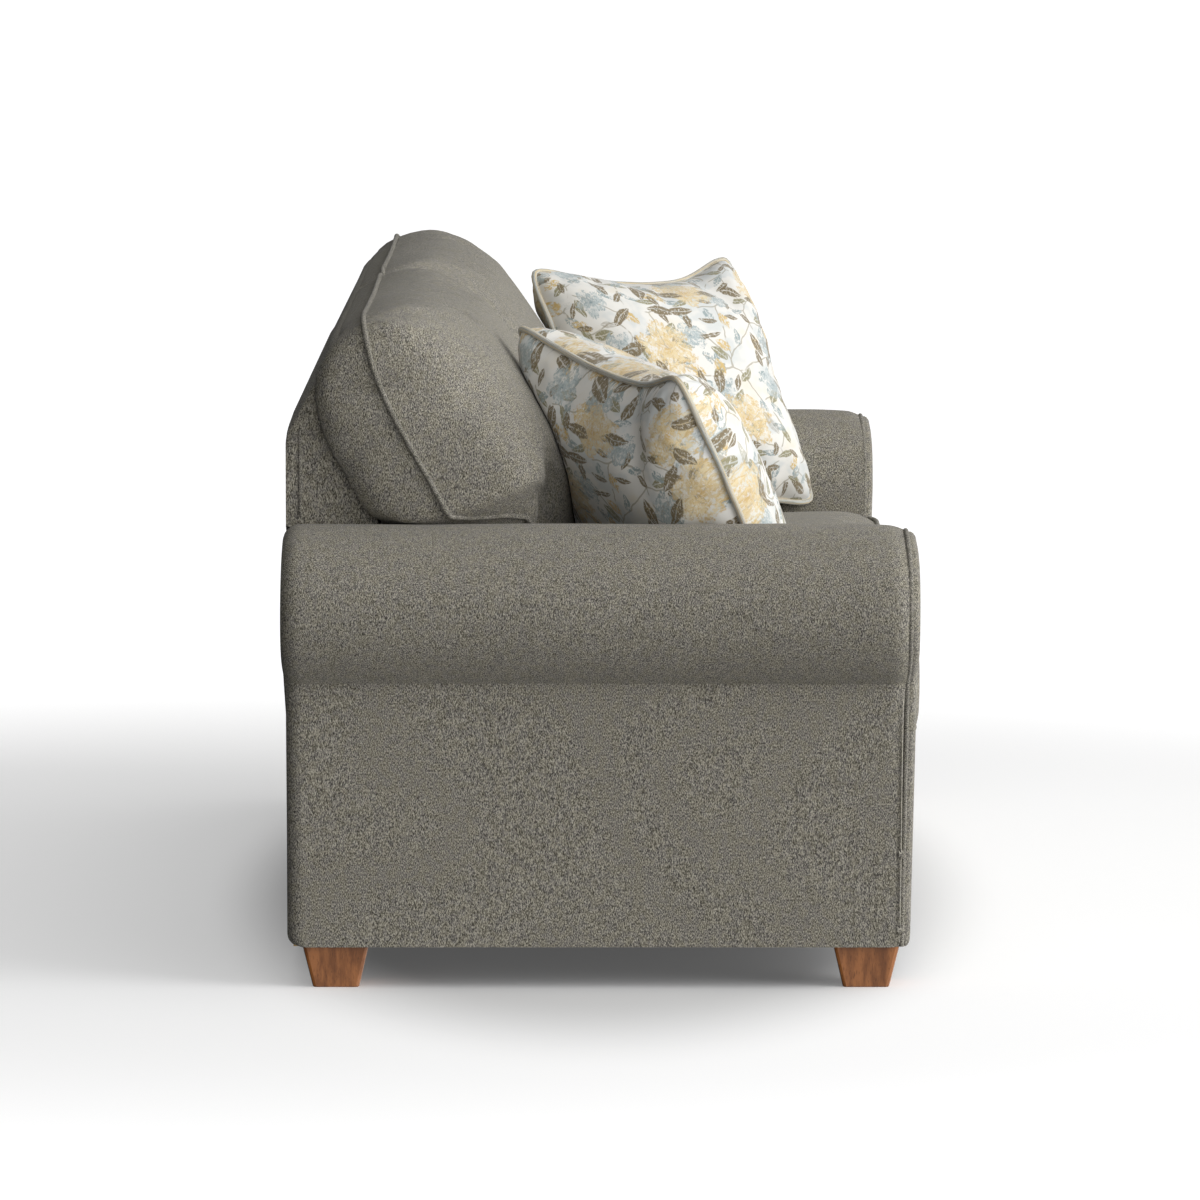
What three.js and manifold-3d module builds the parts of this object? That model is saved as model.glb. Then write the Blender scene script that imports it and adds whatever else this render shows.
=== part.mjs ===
// English roll arm sofa: a hardwood frame with sinuous springs, upholstered arms and back,
// two seat cushions, two back cushions with ears over the arms, and two throw pillows.
// Millimetres, +X along the length, -Y to the front, +Z up; the origin is on the floor
// under the middle of the sofa.

import * as THREE from 'three';
import * as BufferGeometryUtils from 'three/addons/utils/BufferGeometryUtils.js';
import Module from 'manifold-3d';

const wasm = await Module();
wasm.setup();

// Driving sizes
const sofaLength = 2230;
const armDepth = 924;
const armHeight = 677;
const rollWidth = 236;
const rollHeight = 246;
const rollOverhang = 55;
const undersideHeight = 62;
const deckHeight = 350;
const fitGap = 0.3;
const cutOverrun = 40;

// Cloth over padding on boards
const shellWall = 12;
const facingThickness = 15;
const weltRadius = 4.2;
const weltSides = 6;
const endRounding = 9;

// The back, in side view
const backHeight = 952;
const backBendDrop = 129;
const backBendRounding = 23;
const backShoulderDrop = 22;
const backShoulderFromRear = 59;
const backTopRearFromRear = 74;
const backTopFrontFromRear = 94;
const insideBackHeadFromRear = 106;
const insideBackHeadDrop = 17;
const insideBackFootFromRear = 176;
const insideBackThickness = 18;
const backEndFromSofaEnd = 160;

// Hardwood frame
const railThickness = 28;
const boardThickness = 24;
const postWidth = 34;
const topRailHeight = 38;

// Sinuous springs from rail to rail
const springCount = 8;
const deckPadThickness = 53.6;
const springWireRadius = 1.9;
const springHalfWidth = 26;
const springRise = 30;
const springWaves = 9;
const springSides = 4;
const springLoopShare = 0.125;

// Seat cushions
const seatFrontProud = 8;
const seatBandHeight = 152;
const seatCrown = 34;
const seatFall = 30;
const seatDrawIn = 6;
const seatNose = 5;
const seatEdgeRounding = 7;
const cushionGap = 0.6;

// Back cushions
const backCushionEndFromSofaEnd = 111;
const backCushionTuckedUnder = 31;
const backCushionLeanDegrees = 23.3;
const backCushionHeadFromRear = 114;
const backCushionHeadRise = 30;
const backCushionFrontCrown = 168;
const backCushionRearCrown = 132;
const backCushionDrawIn = 6;

// Throw pillows
const pillowSide = 460;
const pillowCrown = 88;
const pillowDrawIn = 18;

// Feet
const footTopWidth = 96;
const footBaseWidth = 68;
const footFromSofaEnd = 110;
const footFromArmFace = 74;
const footCorner = 5;
const footEasingShare = 0.25;

// Finishes
const clothColour = 0x76736a;
const clothFinish = { color: clothColour, roughness: 0.95, metalness: 0 };
const weltFinish = { color: 0x6f6c63, roughness: 0.95, metalness: 0 };
const pillowFinish = { color: 0xd9d2bd, roughness: 0.9, metalness: 0 };
const frameWoodFinish = { color: 0xb99a6b, roughness: 0.8, metalness: 0 };
const footWoodFinish = { color: 0x6e4123, roughness: 0.45, metalness: 0 };
const springFinish = { color: 0x8b8d90, roughness: 0.35, metalness: 0.9 };
const liningFinish = { color: 0x24231f, roughness: 0.95, metalness: 0 };
const padFinish = { color: 0xd8d3c4, roughness: 0.95, metalness: 0 };

const sofa = new THREE.Group();

// Places that follow from the driving sizes
const armOuterX = sofaLength / 2;
const armInnerX = armOuterX - rollWidth;
const rollRadiusX = rollWidth / 2;
const rollRadiusZ = rollHeight / 2;
const rollCentreX = armOuterX - rollRadiusX;
const rollCentreZ = armHeight - rollRadiusZ;
const panelX = armOuterX - rollOverhang;
const frontY = -armDepth / 2;
const rearY = armDepth / 2;
const armShellFrontY = frontY + facingThickness - fitGap;
const backBendHeight = backHeight - backBendDrop;
const backShoulderDepth = rearY - backShoulderFromRear;
const backTopRearDepth = rearY - backTopRearFromRear;
const backTopFrontDepth = rearY - backTopFrontFromRear;
const insideBackHeadDepth = rearY - insideBackHeadFromRear;
const insideBackFootDepth = rearY - insideBackFootFromRear;
const backHalfLength = armOuterX - backEndFromSofaEnd;
const sides = [
  { side: -1, word: 'left' },
  { side: 1, word: 'right' },
];

// Shape helpers

// A shape drawn in a plane and extruded: 'end' looks along the depth (X, Z), 'side' along the length (Y, Z)
const planes = {
  end: new THREE.Matrix4().makeBasis(
    new THREE.Vector3(1, 0, 0), new THREE.Vector3(0, 0, 1), new THREE.Vector3(0, -1, 0)),
  side: new THREE.Matrix4().makeBasis(
    new THREE.Vector3(0, 1, 0), new THREE.Vector3(0, 0, 1), new THREE.Vector3(1, 0, 0)),
  floor: new THREE.Matrix4(),
};

function vector2s(pairs) {
  return pairs.map(([u, v]) => new THREE.Vector2(u, v));
}

// Extrudes an outline from one place to another along the plane's own normal
function prism(outline, plane, from, to) {
  const shape = new THREE.Shape(outline);
  const geometry = new THREE.ExtrudeGeometry(shape, { depth: to - from, bevelEnabled: false });
  geometry.translate(0, 0, from);
  geometry.applyMatrix4(planes[plane]);
  return geometry;
}

// A prism between two Y values, for outlines drawn in X and Z
function alongDepth(outline, lowY, highY) {
  return prism(outline, 'end', -highY, -lowY);
}

// A prism between two X values, for outlines drawn in Y and Z
function alongLength(outline, lowX, highX) {
  return prism(outline, 'side', lowX, highX);
}

function board(lowX, highX, lowY, highY, lowZ, highZ) {
  const geometry = new THREE.BoxGeometry(highX - lowX, highY - lowY, highZ - lowZ);
  geometry.translate((lowX + highX) / 2, (lowY + highY) / 2, (lowZ + highZ) / 2);
  return geometry;
}

function signedVolume(geometry) {
  const place = geometry.attributes.position;
  const index = geometry.index.array;
  const [a, b, c] = [new THREE.Vector3(), new THREE.Vector3(), new THREE.Vector3()];
  let volume = 0;
  for (let i = 0; i < index.length; i += 3) {
    a.fromBufferAttribute(place, index[i]);
    b.fromBufferAttribute(place, index[i + 1]);
    c.fromBufferAttribute(place, index[i + 2]);
    volume += a.dot(b.cross(c));
  }
  return volume;
}

// Joins shared corners, and turns the faces outwards if they all point in
function closed(geometry) {
  const bare = geometry.clone();
  bare.deleteAttribute('normal');
  bare.deleteAttribute('uv');
  const merged = BufferGeometryUtils.mergeVertices(bare);
  if (signedVolume(merged) < 0) {
    const index = merged.index.array;
    for (let i = 0; i < index.length; i += 3) {
      [index[i + 1], index[i + 2]] = [index[i + 2], index[i + 1]];
    }
  }
  return merged;
}

function solid(geometry) {
  const merged = closed(geometry);
  return new wasm.Manifold(new wasm.Mesh({
    numProp: 3,
    vertProperties: new Float32Array(merged.attributes.position.array),
    triVerts: new Uint32Array(merged.index.array),
  }));
}

function geometryOf(manifold) {
  const mesh = manifold.getMesh();
  const geometry = new THREE.BufferGeometry();
  geometry.setAttribute('position', new THREE.Float32BufferAttribute(mesh.vertProperties, 3));
  geometry.setIndex(Array.from(mesh.triVerts));
  return geometry;
}

function cut(geometry, ...cutters) {
  return geometryOf(cutters.reduce((body, cutter) => body.subtract(solid(cutter)), solid(geometry)));
}

function add(name, geometry, finish) {
  const material = new THREE.MeshStandardMaterial(finish);
  const ready = closed(geometry);
  ready.computeVertexNormals();
  const mesh = new THREE.Mesh(ready, material);
  mesh.name = name;
  sofa.add(mesh);
  return mesh;
}

// Skins a stack of rings that all have the same number of points, and closes both ends
function loft(rings, capOutline) {
  const count = rings[0].length;
  const places = rings.flat().flatMap((point) => point.toArray());
  const faces = [];
  for (let r = 0; r + 1 < rings.length; r += 1) {
    for (let i = 0; i < count; i += 1) {
      const a = r * count + i;
      const b = r * count + (i + 1) % count;
      faces.push(a, b, b + count, a, b + count, a + count);
    }
  }
  const last = (rings.length - 1) * count;
  const turn = Math.sign(THREE.ShapeUtils.area(capOutline));
  for (const triangle of THREE.ShapeUtils.triangulateShape(capOutline, [])) {
    const facing = Math.sign(THREE.ShapeUtils.area(triangle.map((i) => capOutline[i])));
    const [a, b, c] = facing === turn ? triangle : triangle.reverse();
    faces.push(c, b, a, last + a, last + b, last + c);
  }
  const geometry = new THREE.BufferGeometry();
  geometry.setAttribute('position', new THREE.Float32BufferAttribute(places, 3));
  geometry.setIndex(faces);
  return geometry;
}

// The arm's section, drawn in X and Z for one end of the sofa and drawn in by an inset

const rollSteps = 22;

function armOutline(side, inset, footZ = undersideHeight) {
  const radiusX = rollRadiusX - inset;
  const radiusZ = rollRadiusZ - inset;
  const tuckX = panelX - inset;
  const tuckAngle = -Math.acos((tuckX - rollCentreX) / radiusX);
  const points = [new THREE.Vector2(armInnerX + inset, footZ)];
  for (let i = 0; i <= rollSteps; i += 1) {
    const angle = THREE.MathUtils.lerp(Math.PI, tuckAngle, i / rollSteps);
    const x = rollCentreX + radiusX * Math.cos(angle);
    points.push(new THREE.Vector2(x, rollCentreZ + radiusZ * Math.sin(angle)));
  }
  points.push(new THREE.Vector2(tuckX, footZ));
  return points.map((point) => new THREE.Vector2(side * point.x, point.y));
}

// What a piece beside an arm is cut back by
function armCutter(side, clearance) {
  return alongDepth(armOutline(side, -clearance, -cutOverrun), frontY - cutOverrun, rearY + cutOverrun);
}

// Arms: a padded shell open at the front and below, its back end closed and rounded

const insideArmBelowDeck = 48;
const insideArmFoot = deckHeight - insideArmBelowDeck;

function armShell(side) {
  const rings = [];
  const roundSteps = 3;
  const ringAt = (inset, y) => armOutline(side, inset).map((p) => new THREE.Vector3(p.x, y, p.y));
  rings.push(ringAt(endRounding, armShellFrontY));
  rings.push(ringAt(0, armShellFrontY + endRounding));
  for (let i = 0; i <= roundSteps; i += 1) {
    const angle = (Math.PI / 2) * (i / roundSteps);
    const inset = endRounding * (1 - Math.cos(angle));
    rings.push(ringAt(inset, rearY - endRounding + endRounding * Math.sin(angle)));
  }
  const body = loft(rings, armOutline(side, 0));
  const hollow = alongDepth(
    armOutline(side, shellWall, undersideHeight - cutOverrun), frontY - cutOverrun, rearY - shellWall);
  const besideDeck = board(
    Math.min(side * (armInnerX - cutOverrun), side * (armInnerX + shellWall + fitGap)),
    Math.max(side * (armInnerX - cutOverrun), side * (armInnerX + shellWall + fitGap)),
    frontY - cutOverrun, rearY + cutOverrun, undersideHeight - cutOverrun, insideArmFoot);
  return cut(body, hollow, besideDeck);
}

// Scrolled front facing: a padded board that follows the roll, domed at its rim

const facingInset = 2 * weltRadius + 2 * fitGap;
const facingDomeShare = 0.9;

function armFacing(side) {
  const domeSteps = 4;
  const domeWidth = facingThickness * facingDomeShare;
  const ringAt = (inset, y) => armOutline(side, inset).map((p) => new THREE.Vector3(p.x, y, p.y));
  const backY = armShellFrontY - fitGap;
  const rimY = backY - facingThickness / 2;
  const rings = [ringAt(facingInset, backY)];
  for (let i = 0; i <= domeSteps; i += 1) {
    const angle = (Math.PI / 2) * (i / domeSteps);
    const inset = facingInset + domeWidth * (1 - Math.cos(angle));
    rings.push(ringAt(inset, THREE.MathUtils.lerp(rimY, frontY, Math.sin(angle))));
  }
  return loft(rings, armOutline(side, facingInset));
}

// Welt cord in the groove between the facing's rim and the arm's end
function armWelt(side) {
  const y = armShellFrontY - fitGap - weltRadius;
  const points = armOutline(side, weltRadius).map((p) => new THREE.Vector3(p.x, y, p.y));
  return tube(points, weltRadius, new THREE.Vector3(0, 1, 0), weltSides);
}

// A round cord through points that lie near one plane, with rings set square to the bends
function tube(points, radius, planeNormal, ringSides) {
  const rings = points.map((point, i) => {
    const before = points[Math.max(i - 1, 0)];
    const after = points[Math.min(i + 1, points.length - 1)];
    const along = after.clone().sub(before).normalize();
    const up = planeNormal.clone().cross(along).normalize();
    const over = along.clone().cross(up).normalize();
    const ring = [];
    for (let k = 0; k < ringSides; k += 1) {
      const angle = (2 * Math.PI * k) / ringSides;
      ring.push(point.clone()
        .addScaledVector(up, radius * Math.cos(angle))
        .addScaledVector(over, radius * Math.sin(angle)));
    }
    return ring;
  });
  const cap = [];
  for (let k = 0; k < ringSides; k += 1) {
    const angle = (2 * Math.PI * k) / ringSides;
    cap.push(new THREE.Vector2(Math.cos(angle), Math.sin(angle)));
  }
  return loft(rings, cap);
}

for (const { side, word } of sides) {
  add(`arm_${word}`, armShell(side), clothFinish);
  add(`arm_facing_${word}`, armFacing(side), clothFinish);
  add(`arm_welt_${word}`, armWelt(side), weltFinish);
}

// Hardwood seat frame: four rails, a stretcher and glued corner blocks

const deckUndersideZ = deckHeight - deckPadThickness;
const springFootZ = deckUndersideZ - fitGap - springWireRadius - springRise;
const railTop = springFootZ - springWireRadius - fitGap;
const railHeight = railTop - undersideHeight;
const railEndX = panelX - shellWall - fitGap;
const borderThickness = 14;
const borderFrontY = frontY + borderThickness / 2;
const borderBackY = borderFrontY + borderThickness;
const frontRailLowY = borderBackY + fitGap;
const frontRailHighY = frontRailLowY + railThickness;
const rearRailHighY = rearY - shellWall - fitGap;
const rearRailLowY = rearRailHighY - railThickness;
const sideRailInX = railEndX - railThickness;

function rail(lowX, highX, lowY, highY) {
  return board(lowX, highX, lowY, highY, undersideHeight, railTop);
}

add('front_rail', rail(-railEndX, railEndX, frontRailLowY, frontRailHighY), frameWoodFinish);
add('rear_rail', rail(-railEndX, railEndX, rearRailLowY, rearRailHighY), frameWoodFinish);

for (const { side, word } of sides) {
  const [lowX, highX] = [side * sideRailInX, side * railEndX].sort((a, b) => a - b);
  add(`side_rail_${word}`,
    rail(lowX, highX, frontRailHighY + fitGap, rearRailLowY - fitGap), frameWoodFinish);
}

const stretcherDropShare = 0.25;
const stretcherTop = railTop - railHeight * stretcherDropShare;
add('centre_stretcher', board(-railThickness / 2, railThickness / 2, frontRailHighY + fitGap,
  rearRailLowY - fitGap, undersideHeight, stretcherTop), frameWoodFinish);

// Corner blocks take the hanger bolts of the feet

const blockLeg = 120;
const blockHeight = 70;
const boltRadius = 4;
const boltInFoot = 36;
const boltSides = 12;
const footX = armOuterX - footFromSofaEnd;
const footY = rearY - footFromArmFace;
const corners = [
  { side: -1, end: -1, word: 'front_left' },
  { side: 1, end: -1, word: 'front_right' },
  { side: -1, end: 1, word: 'rear_left' },
  { side: 1, end: 1, word: 'rear_right' },
];

function boltForm(corner, lowZ, highZ, radius) {
  const geometry = new THREE.CylinderGeometry(radius, radius, highZ - lowZ, boltSides);
  geometry.rotateX(Math.PI / 2);
  geometry.translate(corner.side * footX, corner.end * footY, (lowZ + highZ) / 2);
  return geometry;
}

function cornerBlock(corner) {
  const cornerX = corner.side * (sideRailInX - fitGap);
  const cornerY = corner.end < 0 ? frontRailHighY + fitGap : rearRailLowY - fitGap;
  const outline = vector2s([
    [cornerX, cornerY],
    [cornerX - corner.side * blockLeg, cornerY],
    [cornerX, cornerY - corner.end * blockLeg],
  ]);
  const block = prism(outline, 'floor', undersideHeight, undersideHeight + blockHeight);
  const hole = boltForm(
    corner, undersideHeight - cutOverrun, undersideHeight + blockHeight + cutOverrun, boltRadius + fitGap);
  return cut(block, hole);
}

// Tapered block feet

function footRing(half, z) {
  const places = [];
  const arcSteps = 2;
  for (let quarter = 0; quarter < 4; quarter += 1) {
    for (let i = 0; i <= arcSteps; i += 1) {
      const angle = (Math.PI / 2) * (quarter + i / arcSteps);
      const cornerX = Math.sign(Math.cos((Math.PI / 2) * (quarter + 1 / 2))) * (half - footCorner);
      const cornerY = Math.sign(Math.sin((Math.PI / 2) * (quarter + 1 / 2))) * (half - footCorner);
      places.push(new THREE.Vector3(
        cornerX + footCorner * Math.cos(angle), cornerY + footCorner * Math.sin(angle), z));
    }
  }
  return places;
}

function foot(corner) {
  const top = undersideHeight - fitGap;
  const easing = footCorner * footEasingShare;
  const rings = [
    footRing(footBaseWidth / 2 - easing, 0),
    footRing(footBaseWidth / 2, easing),
    footRing(footTopWidth / 2, top),
  ];
  const block = loft(rings, rings[0].map((p) => new THREE.Vector2(p.x, p.y)));
  block.translate(corner.side * footX, corner.end * footY, 0);
  const hole = boltForm(corner, top - boltInFoot - fitGap, top + cutOverrun, boltRadius + fitGap);
  return cut(block, hole);
}

for (const corner of corners) {
  add(`corner_block_${corner.word}`, cornerBlock(corner), frameWoodFinish);
  add(`foot_${corner.word}`, foot(corner), footWoodFinish);
  add(`foot_bolt_${corner.word}`,
    boltForm(corner, undersideHeight - fitGap - boltInFoot, undersideHeight + blockHeight, boltRadius),
    springFinish);
}

// Scroll boards at both ends of each arm, a top board and a tack rail between them

const armBoardInset = shellWall + fitGap;
const armBoardFootZ = railTop + fitGap;
const frontBoardLowY = armShellFrontY;
const frontBoardHighY = frontBoardLowY + boardThickness;
const rearBoardHighY = rearY - shellWall - fitGap;
const rearBoardLowY = rearBoardHighY - boardThickness;
const armTopBoardShare = 0.6;
const armTopBoardWidth = rollWidth * armTopBoardShare;
const tackRailHeight = 60;

for (const { side, word } of sides) {
  const outline = armOutline(side, armBoardInset, armBoardFootZ);
  add(`arm_front_board_${word}`, alongDepth(outline, frontBoardLowY, frontBoardHighY), frameWoodFinish);
  add(`arm_rear_board_${word}`, alongDepth(outline, rearBoardLowY, rearBoardHighY), frameWoodFinish);
  const centreX = side * rollCentreX;
  add(`arm_top_board_${word}`,
    board(centreX - armTopBoardWidth / 2, centreX + armTopBoardWidth / 2, frontBoardHighY + fitGap,
      rearBoardLowY - fitGap, rollCentreZ + boardThickness, rollCentreZ + 2 * boardThickness),
    frameWoodFinish);
  const tackRailInX = armInnerX + armBoardInset;
  const tackRailOutX = tackRailInX + boardThickness;
  const [lowX, highX] = [side * tackRailInX, side * tackRailOutX].sort((a, b) => a - b);
  add(`arm_tack_rail_${word}`,
    board(lowX, highX, frontBoardHighY + fitGap, rearBoardLowY - fitGap, insideArmFoot,
      insideArmFoot + tackRailHeight), frameWoodFinish);
}

// Outlines of the back in side view (Y, Z), as open lines that can be set off sideways

function setOff(points, distance) {
  return points.map((point, i) => {
    const before = points[Math.max(i - 1, 0)];
    const after = points[Math.min(i + 1, points.length - 1)];
    const inLine = point.clone().sub(before).normalize();
    const outLine = after.clone().sub(point).normalize();
    const along = inLine.clone().add(outLine).normalize();
    const edge = i === 0 ? outLine : inLine;
    const stretch = 1 / Math.max(along.dot(edge), 1 / 2);
    return point.clone().add(new THREE.Vector2(-along.y, along.x).multiplyScalar(distance * stretch));
  });
}

const curveSteps = 5;
const backShoulderHeight = backHeight - backShoulderDrop;
const insideBackHeadHeight = backHeight - insideBackHeadDrop;

// From the underside up the rear face, forwards over the bend to the top edge
function rearFaceLine() {
  const slope = new THREE.Vector2(backShoulderDepth - rearY, backShoulderHeight - backBendHeight)
    .normalize();
  const bend = new THREE.QuadraticBezierCurve(
    new THREE.Vector2(rearY, backBendHeight - backBendRounding),
    new THREE.Vector2(rearY, backBendHeight),
    new THREE.Vector2(rearY, backBendHeight).addScaledVector(slope, backBendRounding));
  return [
    new THREE.Vector2(rearY, undersideHeight),
    ...bend.getPoints(curveSteps),
    new THREE.Vector2(backShoulderDepth, backShoulderHeight),
    new THREE.Vector2(backTopRearDepth, backHeight),
  ];
}

// From the top edge forwards and down the leaning inside face to below the deck
function insideFaceLine(footZ) {
  const lean = (insideBackHeadDepth - insideBackFootDepth) / (insideBackHeadHeight - deckHeight);
  const footY = insideBackFootDepth - (deckHeight - footZ) * lean;
  const head = new THREE.QuadraticBezierCurve(
    new THREE.Vector2(backTopFrontDepth, backHeight),
    new THREE.Vector2(insideBackHeadDepth, backHeight),
    new THREE.Vector2(insideBackHeadDepth, insideBackHeadHeight));
  return [
    new THREE.Vector2(backTopRearDepth, backHeight),
    ...head.getPoints(curveSteps),
    new THREE.Vector2(footY, footZ),
  ];
}

// Deck: springs bowed between the rails, a pad on them, and a front border with a nosing

const nosingRadius = 30;
const nosingDepth = 80;

function borderLine() {
  const corner = new THREE.QuadraticBezierCurve(
    new THREE.Vector2(borderFrontY, deckHeight - nosingRadius),
    new THREE.Vector2(borderFrontY, deckHeight),
    new THREE.Vector2(borderFrontY + nosingRadius, deckHeight));
  return [
    new THREE.Vector2(borderFrontY, undersideHeight),
    ...corner.getPoints(curveSteps),
    new THREE.Vector2(borderFrontY + nosingDepth, deckHeight),
  ];
}

const betweenArms = armInnerX - fitGap;
const border = borderLine();
const borderBand = [...border, ...setOff(border, -borderThickness).reverse()];
add('front_border', alongLength(borderBand, -betweenArms, betweenArms), clothFinish);

const insideFace = insideFaceLine(deckUndersideZ);
const wholeInsideFace = insideFaceLine(undersideHeight);
const rearFace = rearFaceLine();

const underNosing = setOff(border, -(borderThickness + fitGap))
  .slice(1)
  .filter((p) => p.y > deckUndersideZ);
const deckFootY = insideFace[insideFace.length - 1].x - fitGap;
const deckOutline = [
  new THREE.Vector2(borderBackY + fitGap, deckUndersideZ),
  ...underNosing,
  new THREE.Vector2(borderFrontY + nosingDepth + fitGap, underNosing[underNosing.length - 1].y),
  new THREE.Vector2(borderFrontY + nosingDepth + fitGap, deckHeight),
  new THREE.Vector2(deckFootY, deckHeight),
  new THREE.Vector2(deckFootY, deckUndersideZ),
];
add('seat_deck', alongLength(deckOutline, -betweenArms, betweenArms), padFinish);

function spring(centreX) {
  const pointsPerWave = 6;
  const lowY = frontRailLowY + springWireRadius;
  const highY = rearRailHighY - railThickness / 2;
  const waveLength = (highY - lowY) / springWaves;
  const points = [];
  const steps = springWaves * pointsPerWave;
  for (let i = 0; i <= steps; i += 1) {
    const share = i / steps;
    const phase = share * springWaves * 2 * Math.PI;
    points.push(new THREE.Vector3(
      centreX + springHalfWidth * Math.sin(phase),
      THREE.MathUtils.lerp(lowY, highY, share) + waveLength * springLoopShare * Math.sin(2 * phase),
      springFootZ + springRise * Math.sin(Math.PI * share)));
  }
  return tube(points, springWireRadius, new THREE.Vector3(0, 0, 1), springSides);
}

for (let i = 0; i < springCount; i += 1) {
  const centreX = -betweenArms + (2 * betweenArms * (i + 1 / 2)) / springCount;
  add(`seat_spring_${i + 1}`, spring(centreX), springFinish);
}

// Back: an outside panel, an inside pad, end panels, and the posts and rail inside

function common(geometry, other) {
  return geometryOf(solid(geometry).intersect(solid(other)));
}

const armCutters = sides.map(({ side }) => armCutter(side, fitGap));
const outsideBand = [...rearFace, ...setOff(rearFace, shellWall).reverse()];
add('outside_back',
  cut(alongLength(outsideBand, -backHalfLength, backHalfLength), ...armCutters), clothFinish);

const insideBand = [...insideFace, ...setOff(insideFace, insideBackThickness).reverse()];
const outsideClearance = [
  ...setOff(rearFace, -cutOverrun),
  ...setOff(rearFace, shellWall + fitGap).reverse(),
];
const outsideCutter = alongLength(outsideClearance, -sofaLength, sofaLength);
add('inside_back',
  cut(alongLength(insideBand, -backHalfLength, backHalfLength), outsideCutter, ...armCutters), clothFinish);

const backHollowOutline = [
  ...setOff(rearFace, shellWall + fitGap).slice(0, -1),
  ...setOff(wholeInsideFace, insideBackThickness + fitGap).slice(-2),
];

function inBack(lowX, highX, lowZ, highZ) {
  return common(
    board(lowX, highX, 0, rearY, lowZ, highZ), alongLength(backHollowOutline, lowX, highX));
}

const topRailHighZ = backHeight - backShoulderDrop;
const topRailLowZ = topRailHighZ - topRailHeight;
const postInset = boardThickness;
const posts = [
  { word: 'left', x: -(armInnerX - postInset) },
  { word: 'centre', x: 0 },
  { word: 'right', x: armInnerX - postInset },
];
for (const { word, x } of posts) {
  add(`back_post_${word}`,
    inBack(x - postWidth / 2, x + postWidth / 2, railTop + fitGap, topRailLowZ - fitGap), frameWoodFinish);
}
const endPanelInX = backHalfLength - shellWall;
add('back_top_rail',
  inBack(-endPanelInX + fitGap, endPanelInX - fitGap, topRailLowZ, topRailHighZ), frameWoodFinish);
for (const { side, word } of sides) {
  const [lowX, highX] = [side * endPanelInX, side * backHalfLength].sort((a, b) => a - b);
  add(`back_end_panel_${word}`,
    cut(inBack(lowX, highX, undersideHeight, backHeight), ...armCutters), clothFinish);
}

// Dust cover under the frame, notched round the feet

const dustCoverThickness = 1.4;
const dustCoverMargin = 14;

function dustCover() {
  const halfX = panelX - dustCoverMargin;
  const halfY = rearY - dustCoverMargin;
  const notchX = footX - footTopWidth / 2 - fitGap;
  const notchY = footY - footTopWidth / 2 - fitGap;
  const outline = vector2s([
    [-notchX, -halfY], [notchX, -halfY], [notchX, -notchY], [halfX, -notchY],
    [halfX, notchY], [notchX, notchY], [notchX, halfY], [-notchX, halfY],
    [-notchX, notchY], [-halfX, notchY], [-halfX, -notchY], [-notchX, -notchY],
  ]);
  const top = undersideHeight - fitGap;
  return prism(outline, 'floor', top - dustCoverThickness, top);
}

add('dust_cover', dustCover(), liningFinish);

// Cushions: every form is a stack of like rings, so the crown, the drawn-in sides and the edge
// come from one formula on shares of the half width (u) and half length (v)

const ringPointsPerSide = 10;
const cornerSharpness = 16;

// Places round a unit square, closer together towards its corners
function unitSquare() {
  const places = [];
  for (let quarter = 0; quarter < 4; quarter += 1) {
    for (let i = 0; i < ringPointsPerSide; i += 1) {
      const t = Math.sin((Math.PI / 2) * ((2 * i) / ringPointsPerSide - 1));
      places.push([[1, t], [-t, 1], [-1, -t], [t, -1]][quarter]);
    }
  }
  return places;
}

// Rounds the square's corners and draws its sides in between them
function planPlace(u, v, halfWidth, halfLength, drawIn) {
  const reach = Math.max(Math.abs(u), Math.abs(v), Number.EPSILON);
  const [edgeU, edgeV] = [u / reach, v / reach];
  const spread = Math.abs(edgeU) ** cornerSharpness + Math.abs(edgeV) ** cornerSharpness;
  const round = spread ** (-1 / cornerSharpness);
  const x = (halfWidth - drawIn * (1 - edgeV ** 2)) * u * round;
  const y = (halfLength - drawIn * (1 - edgeU ** 2)) * v * round;
  return [x, y];
}

function ringAt(scale, height, form) {
  return unitSquare().map(([u, v]) => {
    const [x, y] = planPlace(u * scale, v * scale, form.halfWidth, form.halfLength, form.drawIn);
    return new THREE.Vector3(x, y, height(u * scale, v * scale));
  });
}

function cushionGeometry(rings) {
  const cap = rings[0].map((p) => new THREE.Vector2(p.x, p.y));
  return loft(rings, cap);
}

// A knife-edged cushion, one crown up and one down from the seam
const crownScaleShares = [0.2, 0.45, 0.65, 0.8, 0.9, 0.96, 0.99];

function knifeEdge(form) {
  const across = (share) => (1 - Math.abs(share) ** form.fullness) ** form.edgeSoftness;
  const swell = (u, v) => across(u) * across(v);
  const front = (u, v) => form.frontCrown * swell(u, v);
  const rear = (u, v) => -form.rearCrown * swell(u, v);
  const up = crownScaleShares.map((scale) => ringAt(scale, front, form));
  const down = crownScaleShares.map((scale) => ringAt(scale, rear, form));
  const seam = ringAt(1, () => 0, form);
  return cushionGeometry([...down, seam, ...up.reverse()]);
}

// Seat cushions: a boxed band with a crowned top that is highest near the front

const seatFrontY = frontY - seatFrontProud;
const seatRearY = insideBackFootDepth - cushionGap;
const seatHalfLength = (seatRearY - seatFrontY) / 2;
const seatHalfWidth = (armInnerX - 3 * cushionGap) / 2;
const seatCentreY = (seatFrontY + seatRearY) / 2;
const seatFootZ = deckHeight + fitGap;
const seatWeltZ = seatFootZ + seatBandHeight;
const seatFrontFullness = 10;
const seatSideFullness = 2.4;

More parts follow.
